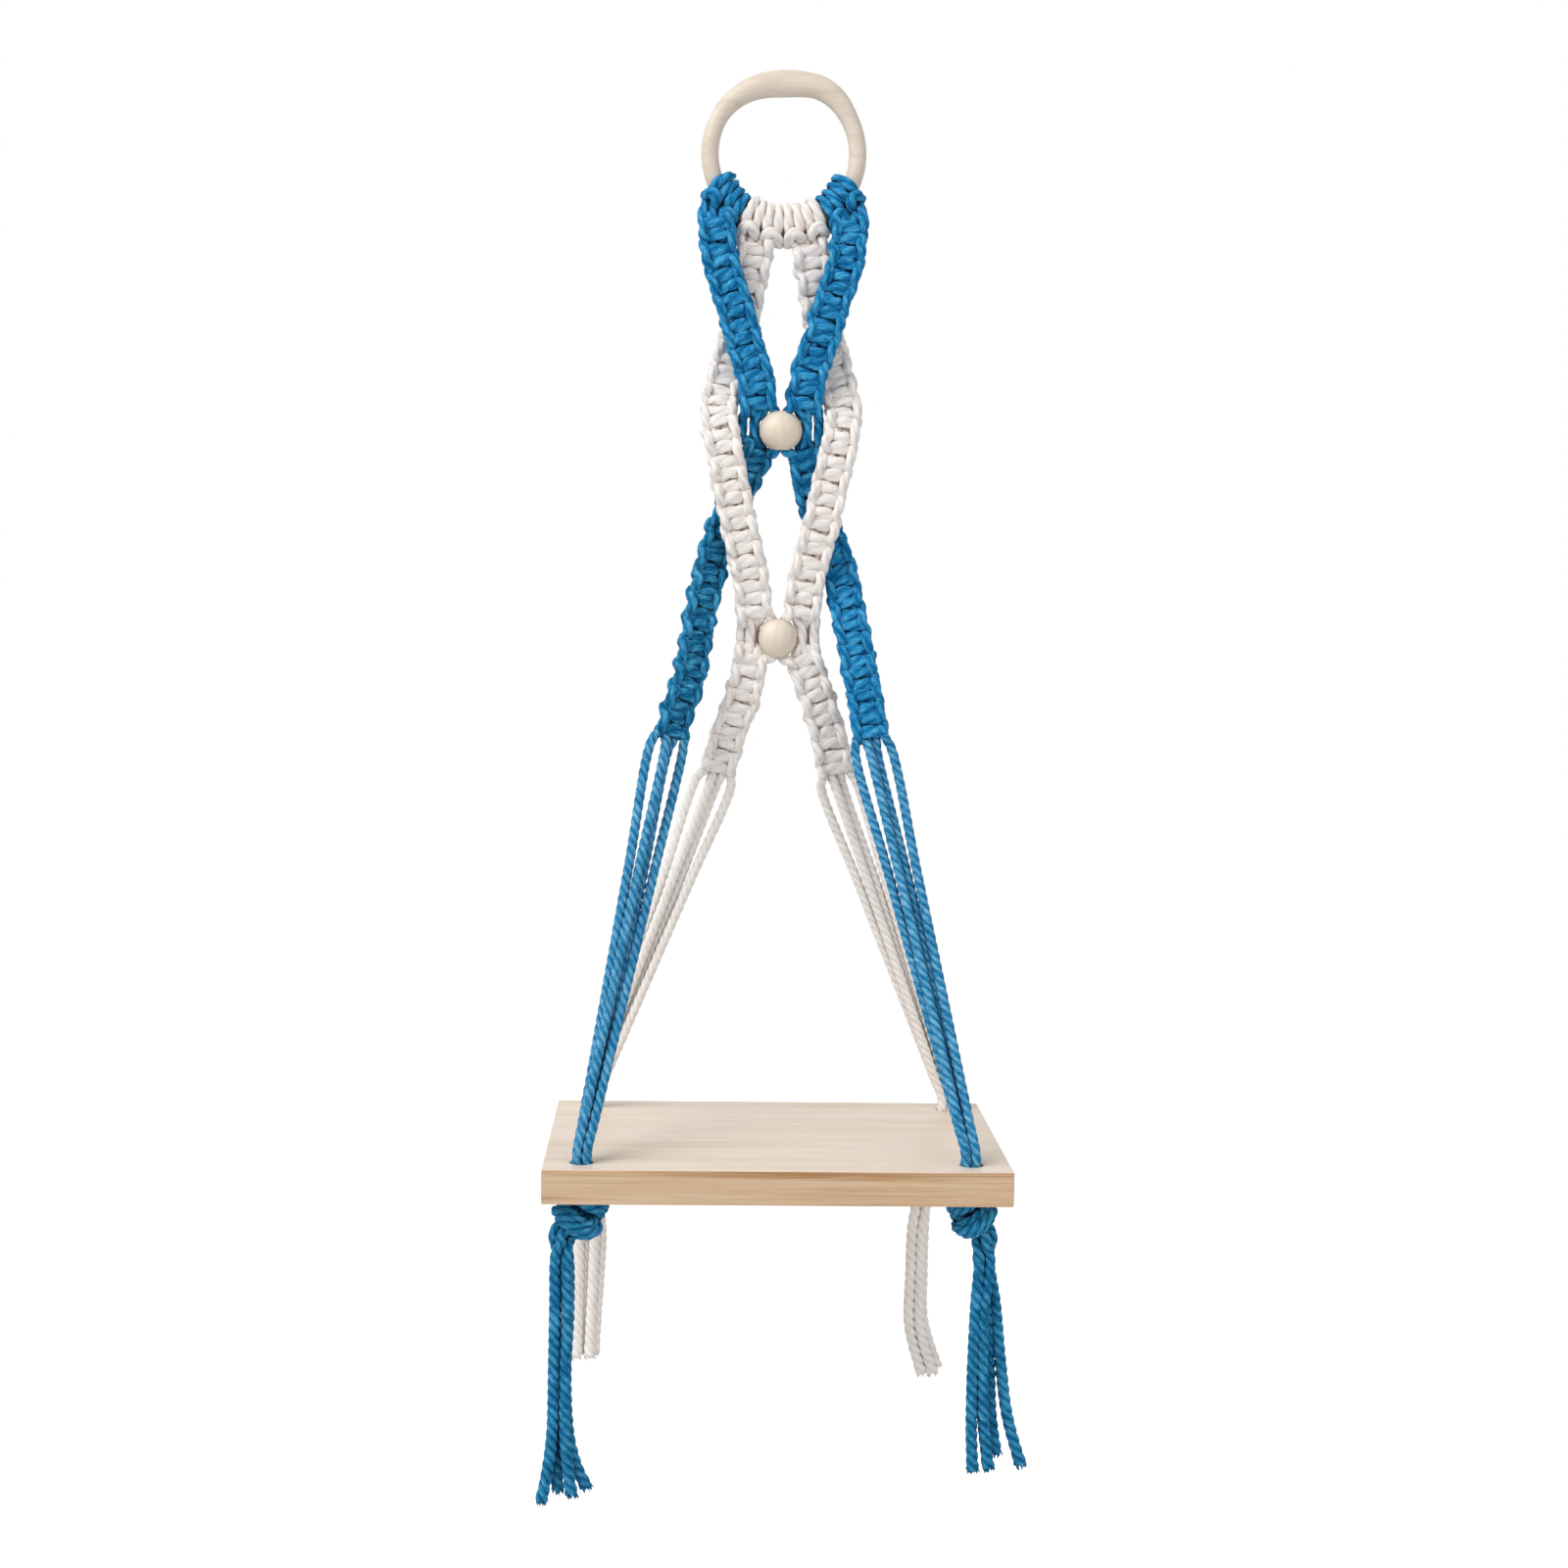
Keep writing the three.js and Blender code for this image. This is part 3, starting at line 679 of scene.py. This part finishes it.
# How far the knots go past the end of the upper strap's line and the start of the lower one's,
# and how far before the end of the lower one's they stop.
PAST_UPPER_END, PAST_LOWER_START, BEFORE_LOWER_END = 1, 4, 0.5

# Routes over one half knot: across the strap, forward of it, share of the way down, flatness.
# The front cord lies as a bar over the fillers; the back cord stands in front at both edges,
# holds down the ends of the bars, and crosses behind the fillers.
FRONT_ROUTE = [
    (-6.1, 0.9, 0, 1.05), (-5.3, 0.3, 0.3, 0.9), (-3.6, 2.3, 0.47, 0.66), (0, 3.6, 0.5, 0.58),
    (3.6, 2.3, 0.53, 0.66), (5.3, 0.3, 0.7, 0.9),
]
BACK_ROUTE = [
    (5.5, 3.8, 0, 1.1), (5.6, 3.4, 0.36, 1.1), (5.2, 1.4, 0.74, 1.05), (4.0, -1.6, 0.74, 1),
    (0, -4.0, 0.5, FLAT), (-4.0, -1.6, 0.26, 1), (-5.2, 1.4, 0.26, 1.05), (-5.6, 3.4, 0.64, 1.1),
]


class Strap:
    """A flat strap's middle line, with places given across it, forward of it and along it."""

    def __init__(self, rows, sign, start, end, width, turn=0):
        self.line = smooth_line([point(sign * out, forward, start + (end - start) * share)
                                 for out, forward, share in rows], FINE_STEP)
        self.length = line_length(self.line)
        self.width = width
        self.along = np.linspace(0, self.length, len(self.line))
        self.tangents = unit(np.gradient(self.line, axis=0))
        across = unit(np.cross([0, -1, 0], self.tangents))
        forward = np.cross(self.tangents, across)
        turn = math.radians(turn)
        self.across = math.cos(turn) * across - math.sin(turn) * forward
        self.forward = math.cos(turn) * forward + math.sin(turn) * across

    def at(self, table, along):
        """A table's row at a distance along the strap."""
        return np.array([np.interp(along, self.along, table[:, k]) for k in range(3)])

    def row(self, across, forward, along, flatness=FLAT):
        """A key row: the place, the direction the cord is pressed in and its flatness."""
        inside = float(np.clip(along, 0, self.length))
        out = self.at(self.forward, inside)
        place = self.at(self.line, inside) + (along - inside) * self.at(self.tangents, inside)
        place += self.width * across * self.at(self.across, inside) + forward * out
        return np.concatenate([place, out, [flatness]])

    def drop_to_along(self, drop):
        return float(np.interp(drop, -self.line[:, 2], self.along))


def knot_rows(strap, start, end, front_side):
    """Key rows of the front cord, the back cord and the two fillers over a stretch of knots.

    Front_side is the side that the front cord starts on. Returns the cords and the side on which
    the front cord ends.
    """
    count = round((end - start) / HALF_KNOT)
    pitch = (end - start) / count
    front, back = [], []
    routes = ((front, FRONT_ROUTE), (back, BACK_ROUTE))
    side = -front_side
    for i in range(count):
        pull = PAIR_PULL if i % 2 == 0 else -PAIR_PULL
        for cord, route in routes:
            for k, (across, forward, down, flatness) in enumerate(route):
                loose = random.normal(0, LOOSENESS, 3)
                share = down + (pull if k else 0)
                cord.append(strap.row(
                    side * across + loose[0], forward + loose[1],
                    start + pitch * (i + share) + loose[2], flatness))
        side = -side
    for cord, route in routes:
        across, forward, _, flatness = route[0]
        cord.append(strap.row(side * across, forward, start + pitch * count, flatness))
    fillers = [
        [strap.row(out, FILLER_FORWARD, start + pitch * i / 2) for i in range(2 * count + 1)]
        for out in (-FILLER_OUT, FILLER_OUT)
    ]
    return front, back, fillers, -side


def left_to_right(front, back, fillers, front_side):
    """The four cords of a strap in their order across it, with the front cord on its side."""
    if front_side < 0:
        return [front, *fillers, back]
    return [back, *fillers, front]


def free_row(place):
    """A key row of a cord that nothing presses on."""
    return np.concatenate([place, [0, -1, 0, 1]])


def beside_bead(colour, side, sign):
    """Rows past the bead for the four cords of a strap, from the middle outwards."""
    bead = BEADS[colour]
    half = bead["height"] / 2
    rows = [[free_row(point(sign * (STRAND_SPREAD + out), bead["forward"], bead["drop"] + down))
             for out, down in ((0.2, 1 - half), (0, 0), (0, half + 0.4))]]
    reach = bead["diameter"] / 2 + CLEARANCE + TAUT / 2
    for out, behind in BESIDE[f"{colour}_{side}"]:
        forward = bead["forward"] - behind
        rows.append([free_row(point(sign * (reach + out - inwards), forward, bead["drop"] + down))
                     for inwards, down in ((0.3, -0.5 * half), (0, 0), (0.2, 0.4 * half))])
    return rows


def lower_strap(colour, side, sign):
    """The strap below the bead, with its side pull."""
    bead = BEADS[colour]
    rows = np.array(LOWER_ROWS[colour], float)
    pull = np.array(SIDE_PULL[f"{colour}_{side}"])
    shares = np.union1d(rows[:, 2], pull[:, 0])
    rows = np.column_stack([
        np.interp(shares, rows[:, 2], rows[:, 0]) + np.interp(shares, pull[:, 0], pull[:, 1]),
        np.interp(shares, rows[:, 2], rows[:, 1]), shares])
    return Strap(rows, sign, bead["drop"] + bead["height"] / 2 + STRAND_RUN + CLEARANCE,
                 STRAP_END[colour], LOWER_WIDTH, TURN.get(f"{colour}_{side}", 0))


def strap_cords(colour, side, sign, lower):
    """The four cords of one side in one colour, from the ring to the foot of the lower strap, as
    key rows: those of the upper strap's piece, and those of the lower's in their order at its foot.
    """
    bead = BEADS[colour]
    upper_end = bead["drop"] - bead["height"] / 2 - STRAND_RUN
    upper = Strap(UPPER_ROWS[colour], sign, RING_DROP, upper_end, UPPER_WIDTH)
    start = upper.drop_to_along(KNOTS_FROM[colour])
    front, back, fillers, front_side = knot_rows(upper, start, upper.length + PAST_UPPER_END, -1)
    leads = sorted(
        (on_ring(hitch_angle(colour, sign, place) + aside, *HITCH_START)
         for place in LOOPS for aside in (-LEAD_ASIDE, LEAD_ASIDE)),
        key=lambda row: row[0],
    )
    for cord, lead in zip(left_to_right(front, back, fillers, -1), leads):
        cord.insert(0, lead)
    above = left_to_right(front, back, fillers, front_side)
    past = beside_bead(colour, side, sign)[::sign]
    front, back, fillers, last_side = knot_rows(
        lower, -PAST_LOWER_START, lower.length - BEFORE_LOWER_END, front_side)
    below = left_to_right(front, back, fillers, front_side)
    # The cord that comes out of the bore has the longest way to its first knot.
    from_bore = below[-1] if sign < 0 else below[0]
    del from_bore[0]
    uppers = [cord + rows + [low[0]] for cord, rows, low in zip(above, past, below)]
    lowers = [rows[-1:] + low for rows, low in zip(past, below)]
    if last_side != front_side:
        lowers[0], lowers[-1] = lowers[-1], lowers[0]
    return uppers, lowers


def leg_rows(colour, side, sign, i, strap, strap_foot):
    """Key rows of a leg cord, from the foot of its strap to the underside of the board.

    A loaded cord is straight, so the rows between its two bends lie on one line.
    """
    (right, ahead), (column, row) = LEG_PLACES[i]
    hole = (sign * HOLE_X + IN_HOLE[f"{colour}_{side}"] + column * BUNDLE,
            HOLE_FORWARD[colour] + row * BUNDLE)
    start = strap.row(right, ahead, strap.length + LEG_START)[:3]
    mouth = point(*hole, BOARD_DROP - BEND_HEIGHT)
    near = mouth + 0.06 * (start - mouth)
    stretch = [start + share * (near - start) for share in (0.02, 0.33, 0.67, 1)]
    places = [*stretch, mouth, point(*hole, BOARD_DROP + BEND_HEIGHT), point(*hole, BOARD_UNDERSIDE)]
    return [strap_foot, *(free_row(place) for place in places)]


# ---- Knots under the board ----

# Middle line of the left overhand knots: right, forward, below the board. The right ones are its
# mirror image, pulled a little tighter.
OVERHAND = [
    (0, 0, -1), (3, 0.4, 1.8), (7.4, -0.6, 4.2), (7.2, -4.4, 7), (1, -6.2, 8.4), (-5.6, -4.6, 8),
    (-8, -0.4, 7), (-5.2, 3.8, 8.4), (-0.8, 5.4, 11.6), (3.4, 4.2, 13.4), (5.4, 0.4, 12.6), (3, -2.2, 12),
    (-2.4, -1.8, 13.6),
]
OVERHAND_SCALE = {"left": (1, 1, 1), "right": (-0.84, 1, 0.88)}
KNOT_SPREAD = 1.75  # of the four cords in a knot, from their middle both ways
TUCK = 4  # rows over which the cords of a knot and of its tassel run into each other
TUCKED = 0.88  # of its diameter, for the inner one of two cords there
SWELL_ROWS = 30  # from the top of a tassel to where its cords are relaxed
FLARE_ROWS, FLARE = 8, 1.12  # before a cut end, and how much wider it is there
YARN_ENDS = 26  # at each cut end


def to_quarter(angle):
    """The smallest turn that brings a square bundle to the same place as this one does."""
    return angle - round(angle / (math.pi / 2)) * math.pi / 2


def bundle_cords(middle_rows):
    """Four cords along a middle line: side by side in both axes at its ends, and one in front of
    the others where the line comes furthest forward."""
    middle = smooth_line(middle_rows, CORD_STEP)
    _, sideways, beside = carried_frames(middle)
    count = len(middle)
    front = int(np.argmin(middle[:, 1]))
    at_front = to_quarter(math.atan2(-beside[front, 1], -sideways[front, 1]) - math.pi / 4)
    at_end = to_quarter(math.atan2(-beside[-1, 0], sideways[-1, 0]))
    turn = np.interp(np.arange(count), [0, front, count - 1], [0, at_front, at_end])[:, None]
    side = np.cos(turn) * sideways + np.sin(turn) * beside
    other = np.cos(turn) * beside - np.sin(turn) * sideways
    spread = np.interp(np.linspace(0, 1, count)[:, None], [0, 0.1, 0.84, 0.93, 1],
                       [BUNDLE, KNOT_SPREAD, KNOT_SPREAD, NECK_SPREAD, NECK_SPREAD])
    return [middle + spread * (a * side + b * other) for a, b in ((-1, -1), (1, -1), (1, 1), (-1, 1))]


def knot_and_tassel_line(knot_line, neck, places):
    """One cord's whole line from the board, and the row at which its tassel begins."""
    rows = [point(neck[0] + right, -neck[1] + forward, TASSEL_TOP + down)
            for right, forward, down in places]
    line = smooth_line(np.vstack([knot_line, rows]), CORD_STEP)
    return line, round(line_length(knot_line) / CORD_STEP)


def cord_diameters(count, first):
    """Diameters from the board to the cut end, for a tassel that begins at the row first."""
    return np.interp(
        np.arange(count), [0, first, first + SWELL_ROWS, count - FLARE_ROWS, count - 1],
        [TAUT, NECK_CORD, RELAXED, RELAXED, FLARE * RELAXED])


# ---- The pieces made of cord ----

def knotted_piece(name, cords, diameter, material, slot):
    """Cords that are knotted together, from their key rows."""
    mesh = Mesh()
    for rows in cords:
        mesh.add_cord(smooth_line(rows, CORD_STEP), diameter, KNOTTED_LAY)
    return mesh.piece(name, material, slot)


def build_loops(colour, side, sign):
    for place in LOOPS:
        rows = hitch_line(hitch_angle(colour, sign, place), STAND[colour])
        piece = knotted_piece(f"{colour}_{side}_hitch_{place}", [rows], LOOP_CORD,
                              UPPER_COTTON[colour], f"{colour}_cotton")
        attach(piece, "loops")
        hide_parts(f"{colour}_{side}_mount_{place}")


def build_legs(colour, side, sign, strap, cords):
    """The four taut cords from the foot of a strap to the underside of the board."""
    for i, rows in enumerate(cords):
        line = smooth_line(leg_rows(colour, side, sign, i, strap, rows[-1]), CORD_STEP)
        mesh = Mesh()
        mesh.add_cord(line, TAUT)
        piece = mesh.piece(f"{colour}_{side}_leg_cord_{i + 1}", LIT_LEG_COTTON[colour], f"{colour}_cotton")
        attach(piece, "hanger")
        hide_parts(f"{colour}_{side}_leg_{i + 1}")


def build_straps_and_legs(colour, side, sign):
    slot = f"{colour}_cotton"
    lower = lower_strap(colour, side, sign)
    upper_cords, lower_cords = strap_cords(colour, side, sign, lower)
    piece = knotted_piece(
        f"{colour}_{side}_upper_knots", upper_cords, KNOT_CORD, UPPER_COTTON[colour], slot)
    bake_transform(piece)
    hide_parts(f"{colour}_{side}_upper_strap")
    piece = knotted_piece(f"{colour}_{side}_lower_knots", lower_cords, KNOT_CORD,
                          LOWER_STRAP_COTTON[side][colour], slot)
    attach(piece, "hanger")
    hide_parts(f"{colour}_{side}_lower_strap")
    build_legs(colour, side, sign, lower, lower_cords)


def build_knot_and_tassel(colour, side, sign):
    slot = f"{colour}_cotton"
    shift, routes = TASSELS[f"{colour}_{side}"]
    middle = point(sign * HOLE_X, HOLE_FORWARD[colour], BOARD_UNDERSIDE)
    rows = [middle + point(*row) for row in np.array(OVERHAND) * OVERHAND_SCALE[side]]
    rows[0][0] += IN_HOLE[f"{colour}_{side}"]
    neck = point(sign * HOLE_X + shift, HOLE_FORWARD[colour], NECK_DROP)
    bundle = bundle_cords([*rows, neck + [0, 0, 3], neck])
    knot = Mesh()
    for i, (corner, route) in enumerate(zip(NECK_CORNERS, routes)):
        start = neck + point(*corner[:2], 0)
        nearest = min(bundle, key=lambda line: np.linalg.norm(line[-1] - start))
        line, first = knot_and_tassel_line(nearest, neck, [corner, *route])
        diameter = cord_diameters(len(line), first)
        phase = random.uniform(0, 2 * np.pi)
        overlap = [first, first + TUCK]
        tail = np.interp(np.arange(len(line)), overlap, [1, TUCKED])
        head = np.interp(np.arange(len(line)), overlap, [TUCKED, 1])
        knot.add_cord(line, diameter * tail, phase=phase, rows=slice(0, first + TUCK + 1))
        mesh = Mesh()
        mesh.add_cord(line, diameter * head, phase=phase, rows=slice(first, None), fray=YARN_ENDS)
        piece = mesh.piece(f"{colour}_{side}_tassel_cord_{i + 1}", HANGING_COTTON[colour], slot)
        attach(piece, f"{colour}_{side}_tassel")
        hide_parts(f"{colour}_{side}_tassel_{i + 1}")
    piece = knot.piece(f"{colour}_{side}_overhand", LOWER_COTTON[colour], slot)
    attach(piece, "hanger")
    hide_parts(f"{colour}_{side}_knot")


# ---- Wood ----

BEAD_BORE, BEAD_LIP = 3.7, 0.35  # radii of the bore and of its rounded edge
FACETS = 64  # round a bead or a hole
EASED = 0.6  # radius of the board's edges

# The ring's wood is thicker at its top: degrees round the ring from its right-hand side, and how
# much further the wood reaches inwards and outwards there.
RING_TOP = [
    (0, 0, 0), (28, 0, 0.3), (48, 0.3, 1.8), (62, 1.3, 1.8), (75, 3.2, 0.7), (90, 4.4, 0), (108, 3.6, 0),
    (128, 1.7, 0), (150, 0.2, 0), (170, 0, 0),
]


def closed_grid(rows, columns):
    """Faces of a grid of points that closes both ways."""
    return [
        (i * columns + k, (i + 1) % rows * columns + k,
         (i + 1) % rows * columns + (k + 1) % columns, i * columns + (k + 1) % columns)
        for i in range(rows) for k in range(columns)
    ]


def build_ring():
    """The ring, with a round section that widens towards its top."""
    turns, around = 144, 32
    angles = np.arange(turns) * 2 * np.pi / turns
    top = smooth_line(RING_TOP, FINE_STEP)
    inwards, outwards = (
        np.interp(np.degrees(angles), top[:, 0], top[:, k], right=0)[:, None] for k in (1, 2))
    section = np.arange(around) * 2 * np.pi / around
    half = (RING_SECTION + inwards + outwards) / 2
    reach = RING_RADIUS + (outwards - inwards) / 2 + half * np.cos(section)
    forward = np.broadcast_to(RING_SECTION / 2 * np.sin(section), reach.shape)
    points = np.stack([
        reach * np.cos(angles)[:, None], -forward, reach * np.sin(angles)[:, None] - RING_DROP], axis=-1)
    ring = smooth_piece(
        "turned_ring", points.reshape(-1, 3), closed_grid(turns, around), RING_WOOD)
    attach(ring, "ring_body")
    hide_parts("ring")


def turned(name, profile):
    """A closed profile of [radius, height] pairs, turned round Z from the beads' wood."""
    turns = np.arange(FACETS) * 2 * np.pi / FACETS
    radii, heights = profile.T
    points = np.stack([
        np.outer(np.cos(turns), radii), np.outer(np.sin(turns), radii),
        np.broadcast_to(heights, (FACETS, len(heights))),
    ], axis=-1).reshape(-1, 3)
    return smooth_piece(name, points, closed_grid(FACETS, len(profile)), BEAD_WOOD)


def build_beads():
    """Round beads with a bore from top to bottom."""
    for name, colour in (("upper_bead", "blue"), ("lower_bead", "white")):
        bead = BEADS[colour]
        radius = bead["diameter"] / 2
        lip_height = bead["height"] / 2 - BEAD_LIP
        edge = math.acos((BEAD_BORE + BEAD_LIP) / radius)
        angles = np.linspace(-edge, edge, 33)
        outside = np.column_stack([
            radius * np.cos(angles), lip_height * np.sin(angles) / math.sin(edge)])
        bend = np.radians([70, 45, 20])
        upper_lip = np.column_stack([
            BEAD_BORE + BEAD_LIP - BEAD_LIP * np.cos(bend), lip_height + BEAD_LIP * np.sin(bend)])
        lower_lip = upper_lip[::-1] * [1, -1]
        piece = turned(f"{name}_turned", np.vstack([outside, upper_lip, lower_lip]))
        place = point(0, bead["forward"], bead["drop"]) * MM
        piece.data.transform(Matrix.Translation(Vector(place)))
        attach(piece, f"{name}_body")
        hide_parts(name)


def apply_modifier(thing, modifier):
    with bpy.context.temp_override(object=thing):
        bpy.ops.object.modifier_apply(modifier=modifier.name)


def drill(board, hole, depth):
    """Cuts one hole through the board, around a place."""
    bpy.ops.mesh.primitive_cylinder_add(
        vertices=FACETS, radius=HOLE_DIAMETER / 2 * MM, depth=depth * MM, location=hole * MM)
    core = bpy.context.object
    cut = board.modifiers.new("hole", "BOOLEAN")
    cut.object = core
    cut.solver = "EXACT"
    apply_modifier(board, cut)
    bpy.data.objects.remove(core)


def board_material(normal):
    """The material's number for a face: 0 flat on top or below, 1 along the grain, 2 across it."""
    # Material 1 on the long edges carries painted shade as well as the sawn wood's tone.
    if abs(normal.z) > 0.5:
        return 0
    return 2 if abs(normal.x) > 0.8 else 1


def build_board():
    """The board with its four holes and eased edges."""
    thickness = BOARD_UNDERSIDE - BOARD_DROP
    middle = (board_low + board_high) / 2 * MM
    bpy.ops.mesh.primitive_cube_add(size=1, location=middle)
    board = bpy.context.object
    board.name = "pine_shelf"
    board.data.transform(Matrix.Diagonal((*((board_high - board_low) * MM), 1)))
    for side, sign in SIDES:
        for colour, forward in HOLE_FORWARD.items():
            right = sign * HOLE_X + HOLE_SHARE * IN_HOLE[f"{colour}_{side}"]
            drill(board, point(right, forward, BOARD_DROP + thickness / 2), 2 * thickness)
    ease = board.modifiers.new("eased", "BEVEL")
    ease.width = EASED * MM
    ease.segments = 3
    ease.limit_method = "ANGLE"
    apply_modifier(board, ease)
    board.data.shade_smooth()
    board.data.materials.clear()
    for material in (BOARD_FACE, BOARD_EDGE, BOARD_END):
        board.data.materials.append(material)
    for face in board.data.polygons:
        face.material_index = board_material(face.normal)
    weighted = board.modifiers.new("flat_faces", "WEIGHTED_NORMAL")
    weighted.keep_sharp = True
    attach(board, "hanger")
    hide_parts("shelf_board")


for build in (build_loops, build_straps_and_legs, build_knot_and_tassel):
    for corner in CORNERS:
        build(*corner)
build_ring()
build_beads()
build_board()


# ---- Floor and light ----

FLOOR_BELOW = 0.12  # under the lowest solid, in metres
AIM = (0, -0.05, -0.3)  # of the lamps, in metres


def build_world():
    """Soft light from all sides, which the camera and reflections see as plain white."""
    world = bpy.data.worlds.new("studio")
    bpy.context.scene.world = world
    world.use_nodes = True
    nodes = Nodes(world.node_tree)
    ambient = world.node_tree.nodes["Background"]
    nodes.set(ambient, {"Color": (1, 0.985, 0.965, 1), "Strength": 0.42})
    white = nodes.add("ShaderNodeBackground", {"Color": (1, 1, 1, 1), "Strength": 1.0})
    path = nodes.add("ShaderNodeLightPath")
    seen = path.outputs["Is Camera Ray"]
    for kind in ("Is Glossy Ray", "Is Transmission Ray"):
        either = nodes.add("ShaderNodeMath", {0: seen, 1: path.outputs[kind]}, operation="MAXIMUM")
        seen = either.outputs["Value"]
    mix = nodes.add("ShaderNodeMixShader", {0: seen, 1: ambient.outputs[0], 2: white.outputs[0]})
    nodes.set(world.node_tree.nodes["World Output"], {"Surface": mix.outputs[0]})


def build_floor():
    """A pale floor that takes the object's shadow, with a glow that only the camera sees."""
    bpy.ops.mesh.primitive_plane_add(size=8, location=(0, 0, cad_box[0][2] - FLOOR_BELOW))
    floor = bpy.context.object
    floor.name = "floor"
    material, nodes, shader = new_material("floor")
    nodes.set(shader, {
        "Base Color": (0.85, 0.85, 0.85, 1), "Roughness": 0.9, "Specular IOR Level": 0.0})
    path = nodes.add("ShaderNodeLightPath")
    nothing = nodes.add("ShaderNodeEmission", {"Strength": 0.0})
    glow = nodes.add("ShaderNodeEmission", {"Strength": 0.62})
    mix = nodes.add("ShaderNodeMixShader", {
        0: path.outputs["Is Camera Ray"], 1: nothing.outputs[0], 2: glow.outputs[0]})
    total = nodes.add("ShaderNodeAddShader", {0: shader.outputs[0], 1: mix.outputs[0]})
    nodes.set(material.node_tree.nodes["Material Output"], {"Surface": total.outputs[0]})
    floor.data.materials.append(material)


def add_lamp(name, place, size, power, colour=(1, 1, 1)):
    """A round soft lamp, aimed at the object."""
    lamp = bpy.data.lights.new(name, "AREA")
    lamp.shape = "DISK"
    lamp.size = size
    lamp.energy = power
    lamp.color = colour
    thing = new_object(name, lamp)
    thing.location = place
    thing.rotation_euler = (Vector(AIM) - Vector(place)).to_track_quat("-Z", "Y").to_euler()


build_world()
build_floor()
add_lamp("key", (-1.25, -0.85, 1.3), size=1.8, power=37, colour=(1, 0.99, 0.97))
add_lamp("fill", (0.9, -1.5, 0.1), size=1.2, power=6)
bpy.context.scene.view_settings.view_transform = "Standard"
